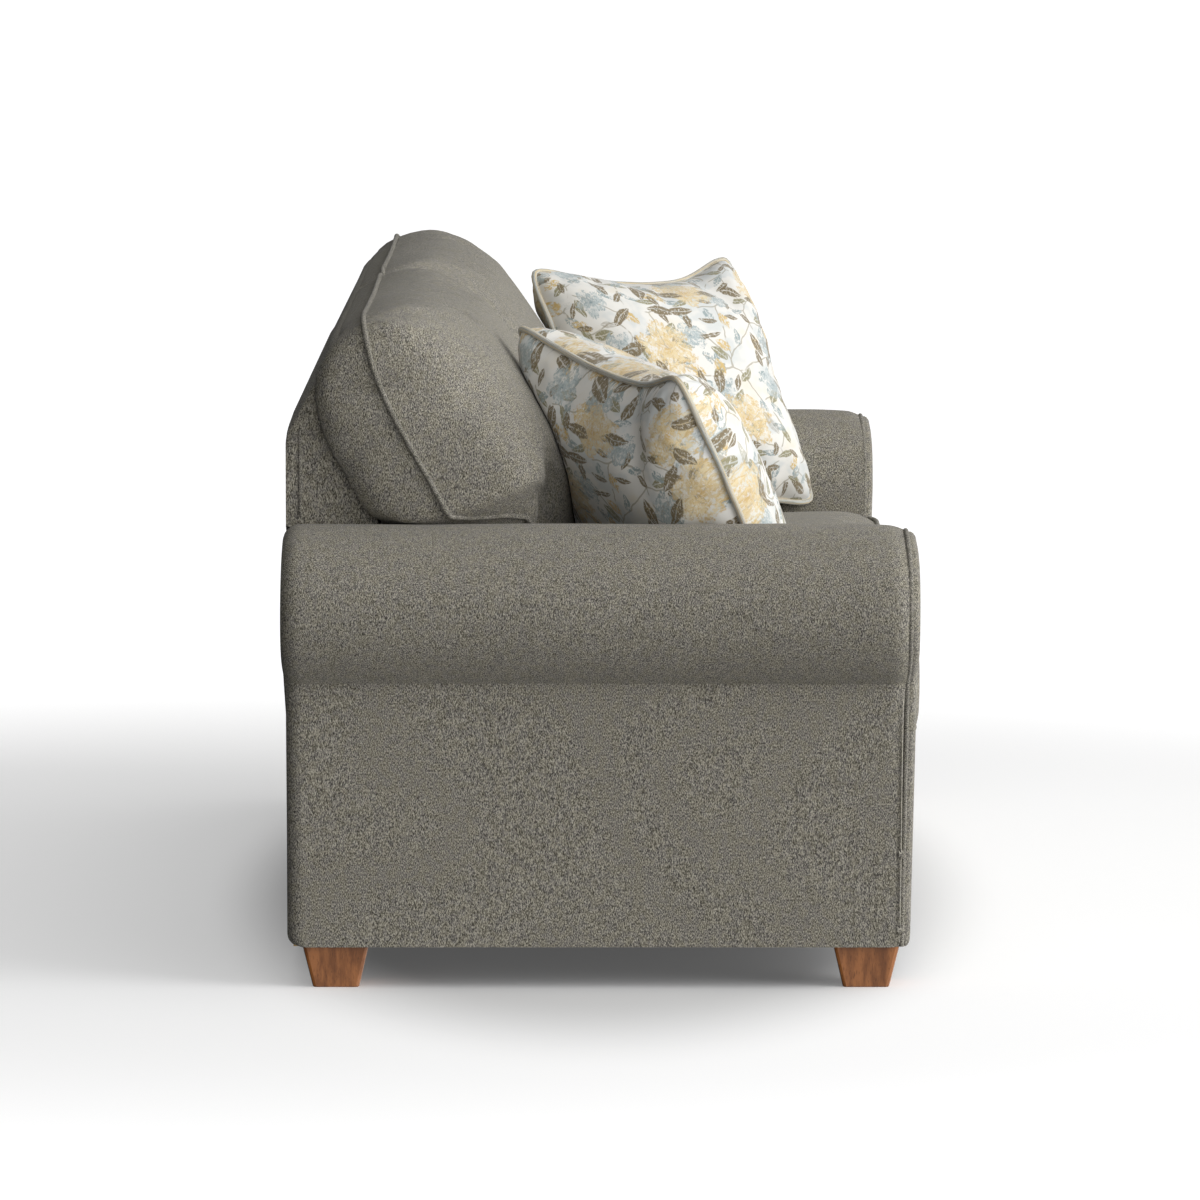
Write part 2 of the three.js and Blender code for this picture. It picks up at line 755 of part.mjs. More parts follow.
function seatTop(u, v) {
  const across = 1 - Math.abs(u) ** seatSideFullness;
  const along = 1 - Math.abs(v) ** seatFrontFullness;
  return seatWeltZ + seatCrown * Math.sqrt(across * along) - (seatFall * (v + 1)) / 2;
}

function seatCushion() {
  const form = { halfWidth: seatHalfWidth, halfLength: seatHalfLength, drawIn: seatDrawIn };
  const nosed = { ...form, drawIn: seatDrawIn - seatNose };
  const eased = {
    ...form,
    halfWidth: seatHalfWidth - seatEdgeRounding,
    halfLength: seatHalfLength - seatEdgeRounding,
  };
  const rings = [
    ringAt(1, () => seatFootZ, eased),
    ringAt(1, () => seatFootZ + seatEdgeRounding, form),
    ringAt(1, (u, v) => (seatFootZ + seatTop(u, v)) / 2, nosed),
    ringAt(1, (u, v) => seatTop(u, v), form),
    ...[...crownScaleShares].reverse().map((scale) => ringAt(scale, seatTop, form)),
  ];
  return cushionGeometry(rings);
}

for (const { side, word } of sides) {
  const cushion = seatCushion();
  cushion.translate(side * (seatHalfWidth + cushionGap), seatCentreY, 0);
  add(`seat_cushion_${word}`, cushion, clothFinish);
}

// Back cushions: knife-edged, leaning on the inside back, with ears that rest on the arms

const lean = THREE.MathUtils.degToRad(backCushionLeanDegrees);
const backCushionUp = new THREE.Vector3(0, Math.sin(lean), Math.cos(lean));
const backCushionFace = new THREE.Vector3(0, -Math.cos(lean), Math.sin(lean));
const seatPeakShare = 0.75;
const seatPeakZ = seatTop(0, -seatPeakShare) + fitGap;
const backCushionRestShare = 0.3;
const backCushionFootZ = seatTop(0, backCushionRestShare) + fitGap;
const backCushionHeadDepth = rearY - backCushionHeadFromRear;
const backCushionHeadHeight = backHeight + backCushionHeadRise;
const backCushionRise = backCushionHeadHeight - backCushionFootZ + backCushionTuckedUnder;
const backCushionHeight = backCushionRise / Math.cos(lean);
const backCushionHalfWidth = (armOuterX - backCushionEndFromSofaEnd - cushionGap) / 2;

// Everything that the back itself fills, and the air behind it
const wholeBack = [...setOff(rearFace, -cutOverrun), ...setOff(wholeInsideFace, -cushionGap)];
const backCutter = alongLength(wholeBack, -(backHalfLength + cushionGap), backHalfLength + cushionGap);
const cushionArmCutters = sides.map(({ side }) => armCutter(side, cushionGap));

function seatSpaceCutter(topZ) {
  return board(-sofaLength, sofaLength, -sofaLength, sofaLength, -sofaLength, topZ);
}

function backCushion(side) {
  const form = {
    halfWidth: backCushionHalfWidth,
    halfLength: backCushionHeight / 2,
    drawIn: backCushionDrawIn,
    frontCrown: backCushionFrontCrown,
    rearCrown: backCushionRearCrown,
    fullness: 2.8,
    edgeSoftness: 0.36,
  };
  const cushion = knifeEdge(form);
  const headX = side * (backCushionHalfWidth + cushionGap);
  const centre = new THREE.Vector3(headX, backCushionHeadDepth, backCushionHeadHeight)
    .addScaledVector(backCushionUp, -backCushionHeight / 2);
  const leaning = new THREE.Matrix4()
    .makeBasis(new THREE.Vector3(1, 0, 0), backCushionUp, backCushionFace)
    .setPosition(centre);
  cushion.applyMatrix4(leaning);
  return cut(cushion, backCutter, seatSpaceCutter(backCushionFootZ), ...cushionArmCutters);
}

const backCushions = {};
for (const { side, word } of sides) {
  backCushions[word] = backCushion(side);
  add(`back_cushion_${word}`, backCushions[word], clothFinish);
}

// Throw pillows: each stands on a corner of the seat, against its arm and the back cushion;
// their places are shares of the pillow's side, measured from the arm, the rear and the seat

const pillows = [
  {
    word: 'left',
    fromArmShare: 0.213,
    fromRearShare: 1.1804,
    aboveSeatShare: 0.4152,
    restShare: 0.6,
    side: -1,
    topEdgeShares: [-0.815, -0.563, -0.135],
    upShares: [-0.385, 0.352, 0.853],
  },
  {
    word: 'right',
    fromArmShare: 0.1435,
    fromRearShare: 1.2696,
    aboveSeatShare: 0.4348,
    restShare: 0.3,
    side: 1,
    topEdgeShares: [0.618, -0.786, -0.006],
    upShares: [0.363, 0.278, 0.889],
  },
];

function pillow(place) {
  const form = {
    halfWidth: pillowSide / 2,
    halfLength: pillowSide / 2,
    drawIn: pillowDrawIn,
    frontCrown: pillowCrown,
    rearCrown: pillowCrown,
    fullness: 2.2,
    edgeSoftness: 0.5,
  };
  const body = knifeEdge(form);
  const across = new THREE.Vector3(...place.topEdgeShares).normalize();
  const face = across.clone().cross(new THREE.Vector3(...place.upShares)).normalize();
  const up = face.clone().cross(across);
  body.applyMatrix4(new THREE.Matrix4().makeBasis(across, up, face).setPosition(
    place.side * (armInnerX - pillowSide * place.fromArmShare),
    rearY - pillowSide * place.fromRearShare,
    seatPeakZ + pillowSide * place.aboveSeatShare));
  const leanedOn = backCushions[place.word].clone();
  leanedOn.translate(0, -cushionGap, 0);
  const restZ = seatTop(place.restShare, -seatPeakShare) + fitGap;
  return cut(body, seatSpaceCutter(restZ), leanedOn, ...cushionArmCutters);
}

for (const place of pillows) {
  add(`throw_pillow_${place.word}`, pillow(place), pillowFinish);
}

// The origin is under the middle of the whole, seat cushions included
sofa.position.y = seatFrontProud / 2;

export default sofa;
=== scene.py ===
# %% [markdown]
# # An English roll arm sofa
# This lesson dresses a measured sofa in cloth, wood and thread. The hard inner parts come
# from the frame file as they are. Everything that an upholsterer would cut, stuff and sew
# is modelled here: the covers, the seat and back cushions, the throw pillows and their welts.

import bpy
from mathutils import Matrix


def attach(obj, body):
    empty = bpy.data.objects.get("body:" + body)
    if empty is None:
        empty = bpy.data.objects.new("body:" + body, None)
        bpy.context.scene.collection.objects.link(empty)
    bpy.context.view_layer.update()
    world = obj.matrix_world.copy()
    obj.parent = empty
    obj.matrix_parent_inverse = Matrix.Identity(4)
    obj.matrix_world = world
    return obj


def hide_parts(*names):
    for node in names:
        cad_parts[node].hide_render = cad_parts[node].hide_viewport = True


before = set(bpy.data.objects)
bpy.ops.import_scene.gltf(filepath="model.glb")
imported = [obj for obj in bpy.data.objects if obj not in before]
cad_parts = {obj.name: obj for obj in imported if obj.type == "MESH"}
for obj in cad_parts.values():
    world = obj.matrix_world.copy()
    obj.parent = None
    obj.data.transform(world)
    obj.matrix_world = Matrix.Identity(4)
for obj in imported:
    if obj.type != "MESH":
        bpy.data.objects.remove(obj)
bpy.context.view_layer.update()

# %% Libraries
import math

import bmesh
import bpy
import numpy as np
from mathutils import Matrix, Vector, noise

# %% [markdown]
# The camera looks at the end of the sofa from about twelve metres with a long lens, a little
# from above. A long lens keeps the far arm almost as large as the near one.

# %% Camera
CAMERA_PLACE = (-12.306, 0.0055, 1.7946)
CAMERA_PITCH = math.radians(6.2022)
CAMERA_LENS = 233.47

camera_data = bpy.data.cameras.new("camera")
camera_data.sensor_width = 36
camera_data.lens = CAMERA_LENS
camera_data.clip_end = 200
camera = bpy.data.objects.new("camera", camera_data)
bpy.context.scene.collection.objects.link(camera)
camera.location = CAMERA_PLACE
camera.rotation_euler = (math.pi / 2 - CAMERA_PITCH, 0, -math.pi / 2)
bpy.context.scene.camera = camera
print("camera at", CAMERA_PLACE)

# %% [markdown]
# The sizes repeat the named sizes of the solids, in metres. Every cover is built on them,
# so it lands on the boards that carry it. Y is 4 mm further back than in the drawing,
# because the origin is under the middle of the whole sofa.

# %% Sizes of the sofa
ORIGIN_SHIFT = 0.004
ARM_INNER_X = 0.879
ROLL_CENTRE_X = 0.997
ROLL_CENTRE_Z = 0.554
ROLL_RADIUS_X = 0.118
ROLL_RADIUS_Z = 0.123
PANEL_X = 1.060
UNDERSIDE_Z = 0.062
DECK_Z = 0.350
FRONT_Y = -0.462 + ORIGIN_SHIFT
REAR_Y = 0.462 + ORIGIN_SHIFT
FACING_BACK_Y = FRONT_Y + 0.0147
BACK_HALF_LENGTH = 0.955
INSIDE_ARM_FOOT_Z = 0.302
CLOTH_GAP = 0.0006
SIDES = (("left", -1), ("right", 1))

# %% [markdown]
# A few small helpers stand for what one does by hand: start from a primitive, pick parts of
# it in edit mode by their place, and apply modifiers at the end.

# %% Modelling helpers
def clear_selection():
    if bpy.context.object and bpy.context.object.mode != "OBJECT":
        bpy.ops.object.mode_set(mode="OBJECT")
    bpy.ops.object.select_all(action="DESELECT")


def take(piece):
    """Makes one piece the selected and active one."""
    clear_selection()
    piece.select_set(True)
    bpy.context.view_layer.objects.active = piece
    return piece


def shape(piece, kind="VERT"):
    """Opens a piece in edit mode with nothing picked."""
    take(piece)
    bpy.ops.object.mode_set(mode="EDIT")
    bpy.ops.mesh.select_mode(type=kind)
    bpy.ops.mesh.select_all(action="DESELECT")


def pick(piece, wanted, kind="VERT"):
    """Picks vertices, edges or faces by their middle."""
    bpy.ops.mesh.select_mode(type=kind)
    bpy.ops.mesh.select_all(action="DESELECT")
    form = bmesh.from_edit_mesh(piece.data)
    parts = {"VERT": form.verts, "EDGE": form.edges, "FACE": form.faces}[kind]
    count = 0
    for part in parts:
        if kind == "VERT":
            keep = wanted(part.co)
        elif kind == "EDGE":
            keep = wanted(part.verts[0].co, part.verts[1].co)
        else:
            keep = wanted(part.calc_center_median(), part.normal)
        part.select_set(bool(keep))
        count += bool(keep)
    form.select_flush_mode()
    bmesh.update_edit_mesh(piece.data)
    return count


def close_shape(piece):
    bpy.ops.object.mode_set(mode="OBJECT")
    piece.select_set(False)
    return piece


def apply_all(piece):
    take(piece)
    for modifier in list(piece.modifiers):
        bpy.ops.object.modifier_apply(modifier=modifier.name)
    return piece


def smooth(piece, degrees=40):
    take(piece)
    bpy.ops.object.shade_smooth_by_angle(angle=math.radians(degrees))
    return piece


def turn_outwards(piece):
    shape(piece, "FACE")
    bpy.ops.mesh.select_all(action="SELECT")
    bpy.ops.mesh.remove_doubles(threshold=0.00001)
    bpy.ops.mesh.normals_make_consistent(inside=False)
    return close_shape(piece)


def subdivided(piece, levels=1):
    modifier = piece.modifiers.new("rounding", "SUBSURF")
    modifier.levels = modifier.render_levels = levels
    return apply_all(piece)


def sheet_of(name, corners):
    """A plane primitive whose four corners are put where the cloth starts."""
    clear_selection()
    bpy.ops.mesh.primitive_plane_add(size=1)
    piece = bpy.context.object
    piece.name = piece.data.name = name
    for vertex, corner in zip(piece.data.vertices, corners):
        vertex.co = corner
    return piece


def outline_of(name, points):
    """A filled circle primitive whose rim follows an outline."""
    clear_selection()
    bpy.ops.mesh.primitive_circle_add(vertices=len(points), radius=1, fill_type="NGON")
    piece = bpy.context.object
    piece.name = piece.data.name = name
    for vertex, point in zip(piece.data.vertices, points):
        vertex.co = point
    return piece


def extrude(offset):
    bpy.ops.mesh.extrude_region_move(TRANSFORM_OT_translate={"value": offset})


def mirrored(piece, name):
    """The same piece for the other end of the sofa, with its own mesh."""
    other = piece.copy()
    other.data = piece.data.copy()
    other.name = other.data.name = name
    bpy.context.scene.collection.objects.link(other)
    other.data.transform(Matrix.Scale(-1, 4, (1, 0, 0)))
    other.data.flip_normals()
    return other


def cord_of(name, points, radius, closed=False, sides=3):
    """A welt: a round cord along a path, made a mesh."""
    path = bpy.data.curves.new(name, "CURVE")
    path.dimensions = "3D"
    path.bevel_depth = radius
    path.bevel_resolution = sides
    path.use_fill_caps = not closed
    spline = path.splines.new("POLY")
    spline.points.add(len(points) - 1)
    for place, point in zip(spline.points, points):
        place.co = (*point, 1)
    spline.use_cyclic_u = closed
    piece = bpy.data.objects.new(name, path)
    bpy.context.scene.collection.objects.link(piece)
    take(piece)
    bpy.ops.object.convert(target="MESH")
    piece = bpy.context.object
    piece.name = piece.data.name = name
    return smooth(turn_outwards(piece), 60)


print("helpers ready")

# %% [markdown]
# Materials are written as sums. A small class wraps a socket, so that adding or multiplying
# two wrapped sockets adds the Math nodes that do it.

# %% Shader kit
class Wire:
    """A value in a node tree that takes part in sums."""

    def __init__(self, finish, socket):
        self.finish = finish
        self.socket = socket

    def sum(self, operation, other=0.0, swapped=False):
        pair = (other, self) if swapped else (self, other)
        return self.finish.node("ShaderNodeMath", {"operation": operation}, {0: pair[0], 1: pair[1]})

    def __add__(self, other):
        return self.sum("ADD", other)

    def __sub__(self, other):
        return self.sum("SUBTRACT", other)

    def __rsub__(self, other):
        return self.sum("SUBTRACT", other, True)

    def __mul__(self, other):
        return self.sum("MULTIPLY", other)

    def __truediv__(self, other):
        return self.sum("DIVIDE", other)

    def __pow__(self, other):
        return self.sum("POWER", other)

    __radd__ = __add__
    __rmul__ = __mul__

    def ramp(self, low, high, first=0.0, last=1.0):
        """Runs smoothly from first to last as the value goes from low to high."""
        return self.finish.node(
            "ShaderNodeMapRange", {"interpolation_type": "SMOOTHSTEP"},
            {0: self, 1: low, 2: high, 3: first, 4: last})


class Finish:
    """A material with one Principled shader."""

    def __init__(self, name, roughness=0.8, metallic=0.0, sheen=0.0):
        self.material = bpy.data.materials.new(name)
        self.material.use_nodes = True
        self.tree = self.material.node_tree
        self.tree.nodes.clear()
        self.shader = self.tree.nodes.new("ShaderNodeBsdfPrincipled")
        output = self.tree.nodes.new("ShaderNodeOutputMaterial")
        self.tree.links.new(self.shader.outputs[0], output.inputs[0])
        self.set("Roughness", roughness)
        self.set("Metallic", metallic)
        self.set("Sheen Weight", sheen)

    def set(self, socket, value):
        self.put(self.shader.inputs[socket], value)

    def put(self, socket, value):
        if isinstance(value, Wire):
            self.tree.links.new(value.socket, socket)
        else:
            socket.default_value = value

    def node(self, kind, settings=None, values=None, output=0):
        made = self.tree.nodes.new(kind)
        for name, setting in (settings or {}).items():
            setattr(made, name, setting)
        for key, value in (values or {}).items():
            self.put(made.inputs[key], value)
        if output is None:
            return made
        return Wire(self, made.outputs[output])

    def place(self, scale=(1, 1, 1), turn=(0, 0, 0), source="Object"):
        where = self.node("ShaderNodeTexCoord", output=source)
        return self.node("ShaderNodeMapping", {}, {"Vector": where, "Scale": scale, "Rotation": turn})

    def noise(self, vector, scale, detail=2.0, roughness=0.5):
        return self.node("ShaderNodeTexNoise", {}, {
            "Vector": vector, "Scale": scale, "Detail": detail, "Roughness": roughness})

    def blend(self, share, first, second, kind="MIX"):
        """Mixes two colours."""
        made = self.node("ShaderNodeMix", {"data_type": "RGBA", "blend_type": kind}, output=None)
        self.put(made.inputs[0], share)
        for index, colour in ((6, first), (7, second)):
            self.put(made.inputs[index], colour if isinstance(colour, Wire) else (*colour, 1))
        return Wire(self, made.outputs[2])

    def bump(self, height, distance, strength=1.0):
        made = self.node("ShaderNodeBump", {}, {
            "Height": height, "Distance": distance, "Strength": strength})
        self.set("Normal", made)


def linear(red, green, blue):
    """A colour as painters name it, from 0 to 255, for the shader."""
    return tuple(((c / 255 + 0.055) / 1.055) ** 2.4 if c > 10 else c / 3295 for c in (red, green, blue))


print("shader kit ready")

# %% [markdown]
# The cover is a tweed of grey and taupe yarns. Seen from a few metres it is a mid grey with
# short upright flecks, lighter and darker. Noise stretched upwards gives the flecks, and a
# finer one gives the raised threads. Object coordinates keep the flecks upright on all covers.

# %% Tweed
TWEED_MIDDLE = linear(134, 129, 115)
TWEED_COOL = linear(129, 125, 119)
TWEED_LIGHT = linear(196, 191, 175)
TWEED_DARK = linear(50, 48, 43)


def tweed(name, middle=TWEED_MIDDLE, upright=2.6):
    finish = Finish(name, roughness=0.92, sheen=0.12)
    finish.set("Sheen Roughness", 0.5)
    finish.set("Specular IOR Level", 0.2)
    yarn = finish.place((1, 1, 1 / upright))
    flecks = finish.noise(yarn, 900, 1, 0.6)
    fine = finish.noise(yarn, 1500, 1, 0.6)
    dye = finish.noise(finish.place(), 70, 2, 0.6)
    light = flecks.ramp(0.51, 0.63) * 0.8
    dark = flecks.ramp(0.48, 0.36) * 0.85
    colour = finish.blend(dye.ramp(0.40, 0.60), middle, TWEED_COOL)
    colour = finish.blend(light, colour, TWEED_LIGHT)
    colour = finish.blend(dark, colour, TWEED_DARK)
    colour = finish.blend(fine.ramp(0.42, 0.62, 0.0, 0.35), colour, TWEED_DARK)
    finish.set("Base Color", colour)
    finish.bump(flecks * 0.6 + fine * 0.4, 0.0009, 0.8)
    return finish.material


TWEED = tweed("tweed")
WELT_TWEED = tweed("tweed_welt", linear(112, 109, 100), 1.4)
print("tweed ready")

# %% [markdown]
# The feet are stained hardwood under a satin varnish: red brown, with an upright grain of
# fine dark pores. The inner boards are the same kind of wood left raw.

# %% Woods
def wood(name, light, dark, roughness, coat):
    finish = Finish(name, roughness=roughness)
    finish.set("Coat Weight", coat)
    finish.set("Coat Roughness", 0.3)
    grain_place = finish.place((1, 1, 0.06))
    figure = finish.noise(grain_place, 60, 4, 0.6)
    pores = finish.noise(grain_place, 520, 2, 0.5)
    colour = finish.blend(figure.ramp(0.35, 0.65), light, dark)
    colour = finish.blend(pores.ramp(0.55, 0.75, 0.0, 0.6), colour, tuple(c * 0.5 for c in dark))
    finish.set("Base Color", colour)
    finish.set("Roughness", figure.ramp(0.3, 0.7, roughness - 0.06, roughness + 0.08))
    finish.bump(pores, 0.0003, 0.5)
    return finish.material


FOOT_WOOD = wood("foot_wood", linear(172, 110, 62), linear(126, 76, 40), 0.42, 0.2)
FRAME_WOOD = wood("frame_wood", linear(205, 176, 130), linear(176, 143, 98), 0.75, 0.0)
print("woods ready")

# %% [markdown]
# Three plainer finishes lie out of sight: drawn wire for springs and bolts, the black lining
# under the frame, and the pale platform cloth on the deck. Each still has its own grain.

# %% Hidden finishes
def wire():
    finish = Finish("spring_wire", roughness=0.35, metallic=1.0)
    marks = finish.noise(finish.place((1, 0.1, 1)), 900, 2)
    finish.set("Base Color", finish.blend(marks, linear(130, 131, 134), linear(172, 173, 176)))
    finish.set("Roughness", marks.ramp(0.3, 0.7, 0.28, 0.45))
    finish.bump(marks, 0.0001, 0.4)
    return finish.material


def plain_cloth(name, light, dark, threads):
    finish = Finish(name, roughness=0.9, sheen=0.1)
    across = finish.noise(finish.place((1, 0.15, 1)), threads, 1)
    along = finish.noise(finish.place((0.15, 1, 1)), threads, 1)
    weave = across * 0.5 + along * 0.5
    finish.set("Base Color", finish.blend(weave.ramp(0.35, 0.65), dark, light))
    finish.bump(weave, 0.0004, 0.6)
    return finish.material


SPRING_WIRE = wire()
LINING = plain_cloth("lining", linear(42, 41, 39), linear(28, 27, 26), 700)
PLATFORM_CLOTH = plain_cloth("platform_cloth", linear(214, 208, 192), linear(186, 179, 162), 900)
print("hidden finishes ready")

# %% [markdown]
# The throw pillows have a printed linen: gold and blue-grey blossoms, brown and olive leaves
# and fine stems on a bright ground, with soft watercolour edges. The motifs are made up here.
# Each kind is scattered over the cloth: the nearest scattered place gives an offset and some
# dice, and a petal or leaf is a sum of that offset. The cloth's own flat coordinates, in
# metres, carry the pattern round the pillow without stretching.

# %% Printed linen
def scattered(finish, cloth, cell, seed, evenness=0.8):
    """Offset from the nearest scattered place, turned at random, and two dice."""
    spread = finish.node("ShaderNodeMapping", {}, {
        "Vector": cloth, "Scale": (1 / cell, 1 / cell, 1), "Location": (seed, seed * 0.61, 0)})
    cells = finish.node(
        "ShaderNodeTexVoronoi", {"voronoi_dimensions": "2D"},
        {"Vector": spread, "Scale": 1, "Randomness": evenness}, output=None)
    offset = finish.node("ShaderNodeVectorMath", {"operation": "SUBTRACT"}, {
        0: spread, 1: Wire(finish, cells.outputs["Position"])})
    dice = finish.node("ShaderNodeSeparateColor", {}, {0: Wire(finish, cells.outputs["Color"])}, None)
    first, second = Wire(finish, dice.outputs[0]), Wire(finish, dice.outputs[1])
    turned = finish.node("ShaderNodeVectorRotate", {"rotation_type": "Z_AXIS"}, {
        "Vector": offset, "Angle": first * 37.0})
    parts = finish.node("ShaderNodeSeparateXYZ", {}, {0: turned}, None)
    return Wire(finish, parts.outputs[0]), Wire(finish, parts.outputs[1]), first, second


def blossom(finish, under, where, reach, petals, tip, heart, ragged, ink, likely):
    """Layers of petals, each smaller and turned, with gaps where the ink did not take."""
    x, y, _, chance = where
    radius = (x * x + y * y) ** 0.5
    angle = y.sum("ARCTAN2", x)
    shown = chance.ramp(likely, likely + 0.02)
    colour = under
    for layer, share in enumerate((1.0, 0.72, 0.45, 0.22)):
        wave = (angle * (petals / 2) + layer * 1.1 + radius * 3.0).sum("COSINE").sum("ABSOLUTE")
        rim = (wave ** 0.7 * 0.34 + 0.66) * (reach * share) + ragged * (reach * 0.9)
        depth = radius / rim
        petal = finish.blend(depth.ramp(0.1, 1.0), heart, tip)
        inside = depth.ramp(1.03, 0.9) * shown * (ink * 0.8 + 0.08)
        colour = finish.blend(inside, colour, petal)
        edge = depth.ramp(0.8, 0.93) * depth.ramp(1.04, 0.95) * shown * ink * 0.7
        colour = finish.blend(edge, colour, heart)
    return colour


def leaves(finish, under, where, length, width, colour, ink, likely):
    """A pointed leaf with a pale rib on each scattered place."""
    x, y, _, chance = where
    along = (x / length).sum("ABSOLUTE")
    half = (1 - along * along) * width
    edge = y.sum("ABSOLUTE") / half.sum("MAXIMUM", 0.0001)
    rib = y.sum("ABSOLUTE").ramp(width * 0.04, width * 0.14, 0.35, 1.0)
    shown = chance.ramp(likely, likely + 0.02) * along.ramp(1.0, 0.96)
    return finish.blend(edge.ramp(1.05, 0.8) * shown * rib * ink, under, colour)


def printed_linen(name, ground, strength):
    finish = Finish(name, roughness=0.8, sheen=0.3)
    flat = finish.place(source="UV")
    wobble = finish.noise(flat, 34, 2, 0.5)
    ragged = finish.noise(flat, 105, 4, 0.7) - 0.5
    scratched = finish.noise(finish.place((1, 0.6, 1), (0, 0, 0.6), "UV"), 330, 4, 0.75)
    worn = (scratched * 0.6 + finish.noise(flat, 90, 3, 0.6) * 0.4).ramp(0.44, 0.54) * strength
    full = scratched.ramp(0.34, 0.5) * strength
    cloth = finish.node("ShaderNodeVectorMath", {"operation": "MULTIPLY_ADD"}, {
        0: finish.node("ShaderNodeTexNoise", {}, {"Vector": flat, "Scale": 30, "Detail": 2}, 1),
        1: (0.016, 0.016, 0), 2: flat})
    wash = finish.noise(flat, 13, 3, 0.6)
    colour = finish.blend(wash.ramp(0.5, 0.62, 0.0, 0.55), ground, linear(196, 203, 204))
    colour = finish.blend(wash.ramp(0.46, 0.34, 0.0, 0.5), colour, linear(226, 217, 196))
    stems = finish.node(
        "ShaderNodeTexVoronoi", {"feature": "DISTANCE_TO_EDGE", "voronoi_dimensions": "2D"},
        {"Vector": cloth, "Scale": 17})
    line = stems.ramp(0.030, 0.012) * wobble.ramp(0.40, 0.48)
    colour = finish.blend(line * 0.6 * strength, colour, linear(142, 132, 106))
    brown, olive, slate = linear(126, 112, 84), linear(146, 141, 110), linear(148, 162, 163)
    straw = linear(206, 178, 116)
    for cell, seed, length, width, tone, ink, likely in (
            (0.044, 12.4, 0.42, 0.17, olive, full, 0.40),
            (0.040, 8.7, 0.42, 0.19, slate, worn, 0.45),
            (0.048, 17.9, 0.38, 0.20, straw, worn, 0.60),
            (0.037, 3.1, 0.42, 0.16, brown, full, 0.46)):
        where = scattered(finish, cloth, cell, seed)
        colour = leaves(finish, colour, where, length, width, tone, ink, likely)
    colour = blossom(
        finish, colour, scattered(finish, cloth, 0.082, 5.3), 0.34, 5,
        linear(196, 204, 203), linear(138, 154, 157), ragged, worn, 0.42)
    colour = blossom(
        finish, colour, scattered(finish, cloth, 0.118, 1.9), 0.42, 6,
        linear(228, 214, 176), linear(202, 170, 110), ragged, worn, 0.36)
    colour = leaves(finish, colour, scattered(finish, cloth, 0.058, 6.4), 0.42, 0.17, brown, full, 0.40)
    finish.set("Base Color", colour)
    threads = finish.noise(finish.place((1, 0.2, 1), source="UV"), 1100, 1) * 0.5
    threads = threads + finish.noise(finish.place((0.2, 1, 1), source="UV"), 1100, 1) * 0.5
    finish.set("Roughness", threads.ramp(0.3, 0.7, 0.7, 0.88))
    finish.bump(threads, 0.0005, 0.6)
    return finish.material


PRINTED_LINEN = printed_linen("printed_linen", linear(229, 227, 221), 1.0)
PRINTED_WELT = printed_linen("printed_linen_welt", linear(196, 195, 188), 0.7)
print("printed linen ready")

# %% [markdown]
# The rigid inner parts keep their solids and only get a better finish. They are seen when
# the cushions are pulled out or from underneath.

# %% Finishes for the solids that stay
STAYING = (
    (("foot_",), FOOT_WOOD),
    (("foot_bolt_", "seat_spring_"), SPRING_WIRE),
    (("front_rail", "rear_rail", "side_rail_", "centre_stretcher", "corner_block_"), FRAME_WOOD),
    (("arm_front_board_", "arm_rear_board_", "arm_top_board_", "arm_tack_rail_"), FRAME_WOOD),
    (("back_post_", "back_top_rail"), FRAME_WOOD),
    (("dust_cover",), LINING),
)
dressed = set()
for starts, material in STAYING:
    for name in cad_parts:
        if name.startswith(starts):
            solid = bpy.data.objects[name]
            solid.data.materials.clear()
            solid.data.materials.append(material)
            dressed.add(name)
print(len(dressed), "solids have their finish")

# %% [markdown]
# The roll arm is one cloth from inside to outside: up the inner wall, round the roll and down
# the outer panel, where it tucks in under the roll. A plane is the inner wall, its top edge
# is spun round the roll and the last edge is pulled down as the outer panel. The roll is a
# little taller than wide, so it is stretched upwards. The right arm is made first.

# %% Arm sheet
ROLL_STEPS = 28
ARM_ROWS = 56
TUCK_ANGLE = math.acos((PANEL_X - ROLL_CENTRE_X) / ROLL_RADIUS_X)


def arm_sheet(name, front_y, back_y):
    piece = sheet_of(name, (
        (ARM_INNER_X, front_y, UNDERSIDE_Z), (ARM_INNER_X, back_y, UNDERSIDE_Z),
        (ARM_INNER_X, front_y, ROLL_CENTRE_Z), (ARM_INNER_X, back_y, ROLL_CENTRE_Z)))
    shape(piece, "EDGE")
    pick(piece, lambda a, b: a.z > ROLL_CENTRE_Z - 0.001 and b.z > ROLL_CENTRE_Z - 0.001, "EDGE")
    bpy.ops.mesh.spin(
        steps=ROLL_STEPS, angle=-math.pi - TUCK_ANGLE, center=(ROLL_CENTRE_X, 0, ROLL_CENTRE_Z),
        axis=(0, 1, 0))
    foot = min(v.co.z for v in bmesh.from_edit_mesh(piece.data).verts if v.co.x > ROLL_CENTRE_X)
    pick(piece, lambda a, b: max(a.z, b.z) < foot + 0.001 and min(a.x, b.x) > ROLL_CENTRE_X, "EDGE")
    extrude((0, 0, UNDERSIDE_Z - foot))
    pick(piece, lambda co: co.z > foot - 0.001)
    bpy.ops.transform.resize(
        value=(1, 1, ROLL_RADIUS_Z / ROLL_RADIUS_X), center_override=(0, 0, ROLL_CENTRE_Z))
    return close_shape(piece)


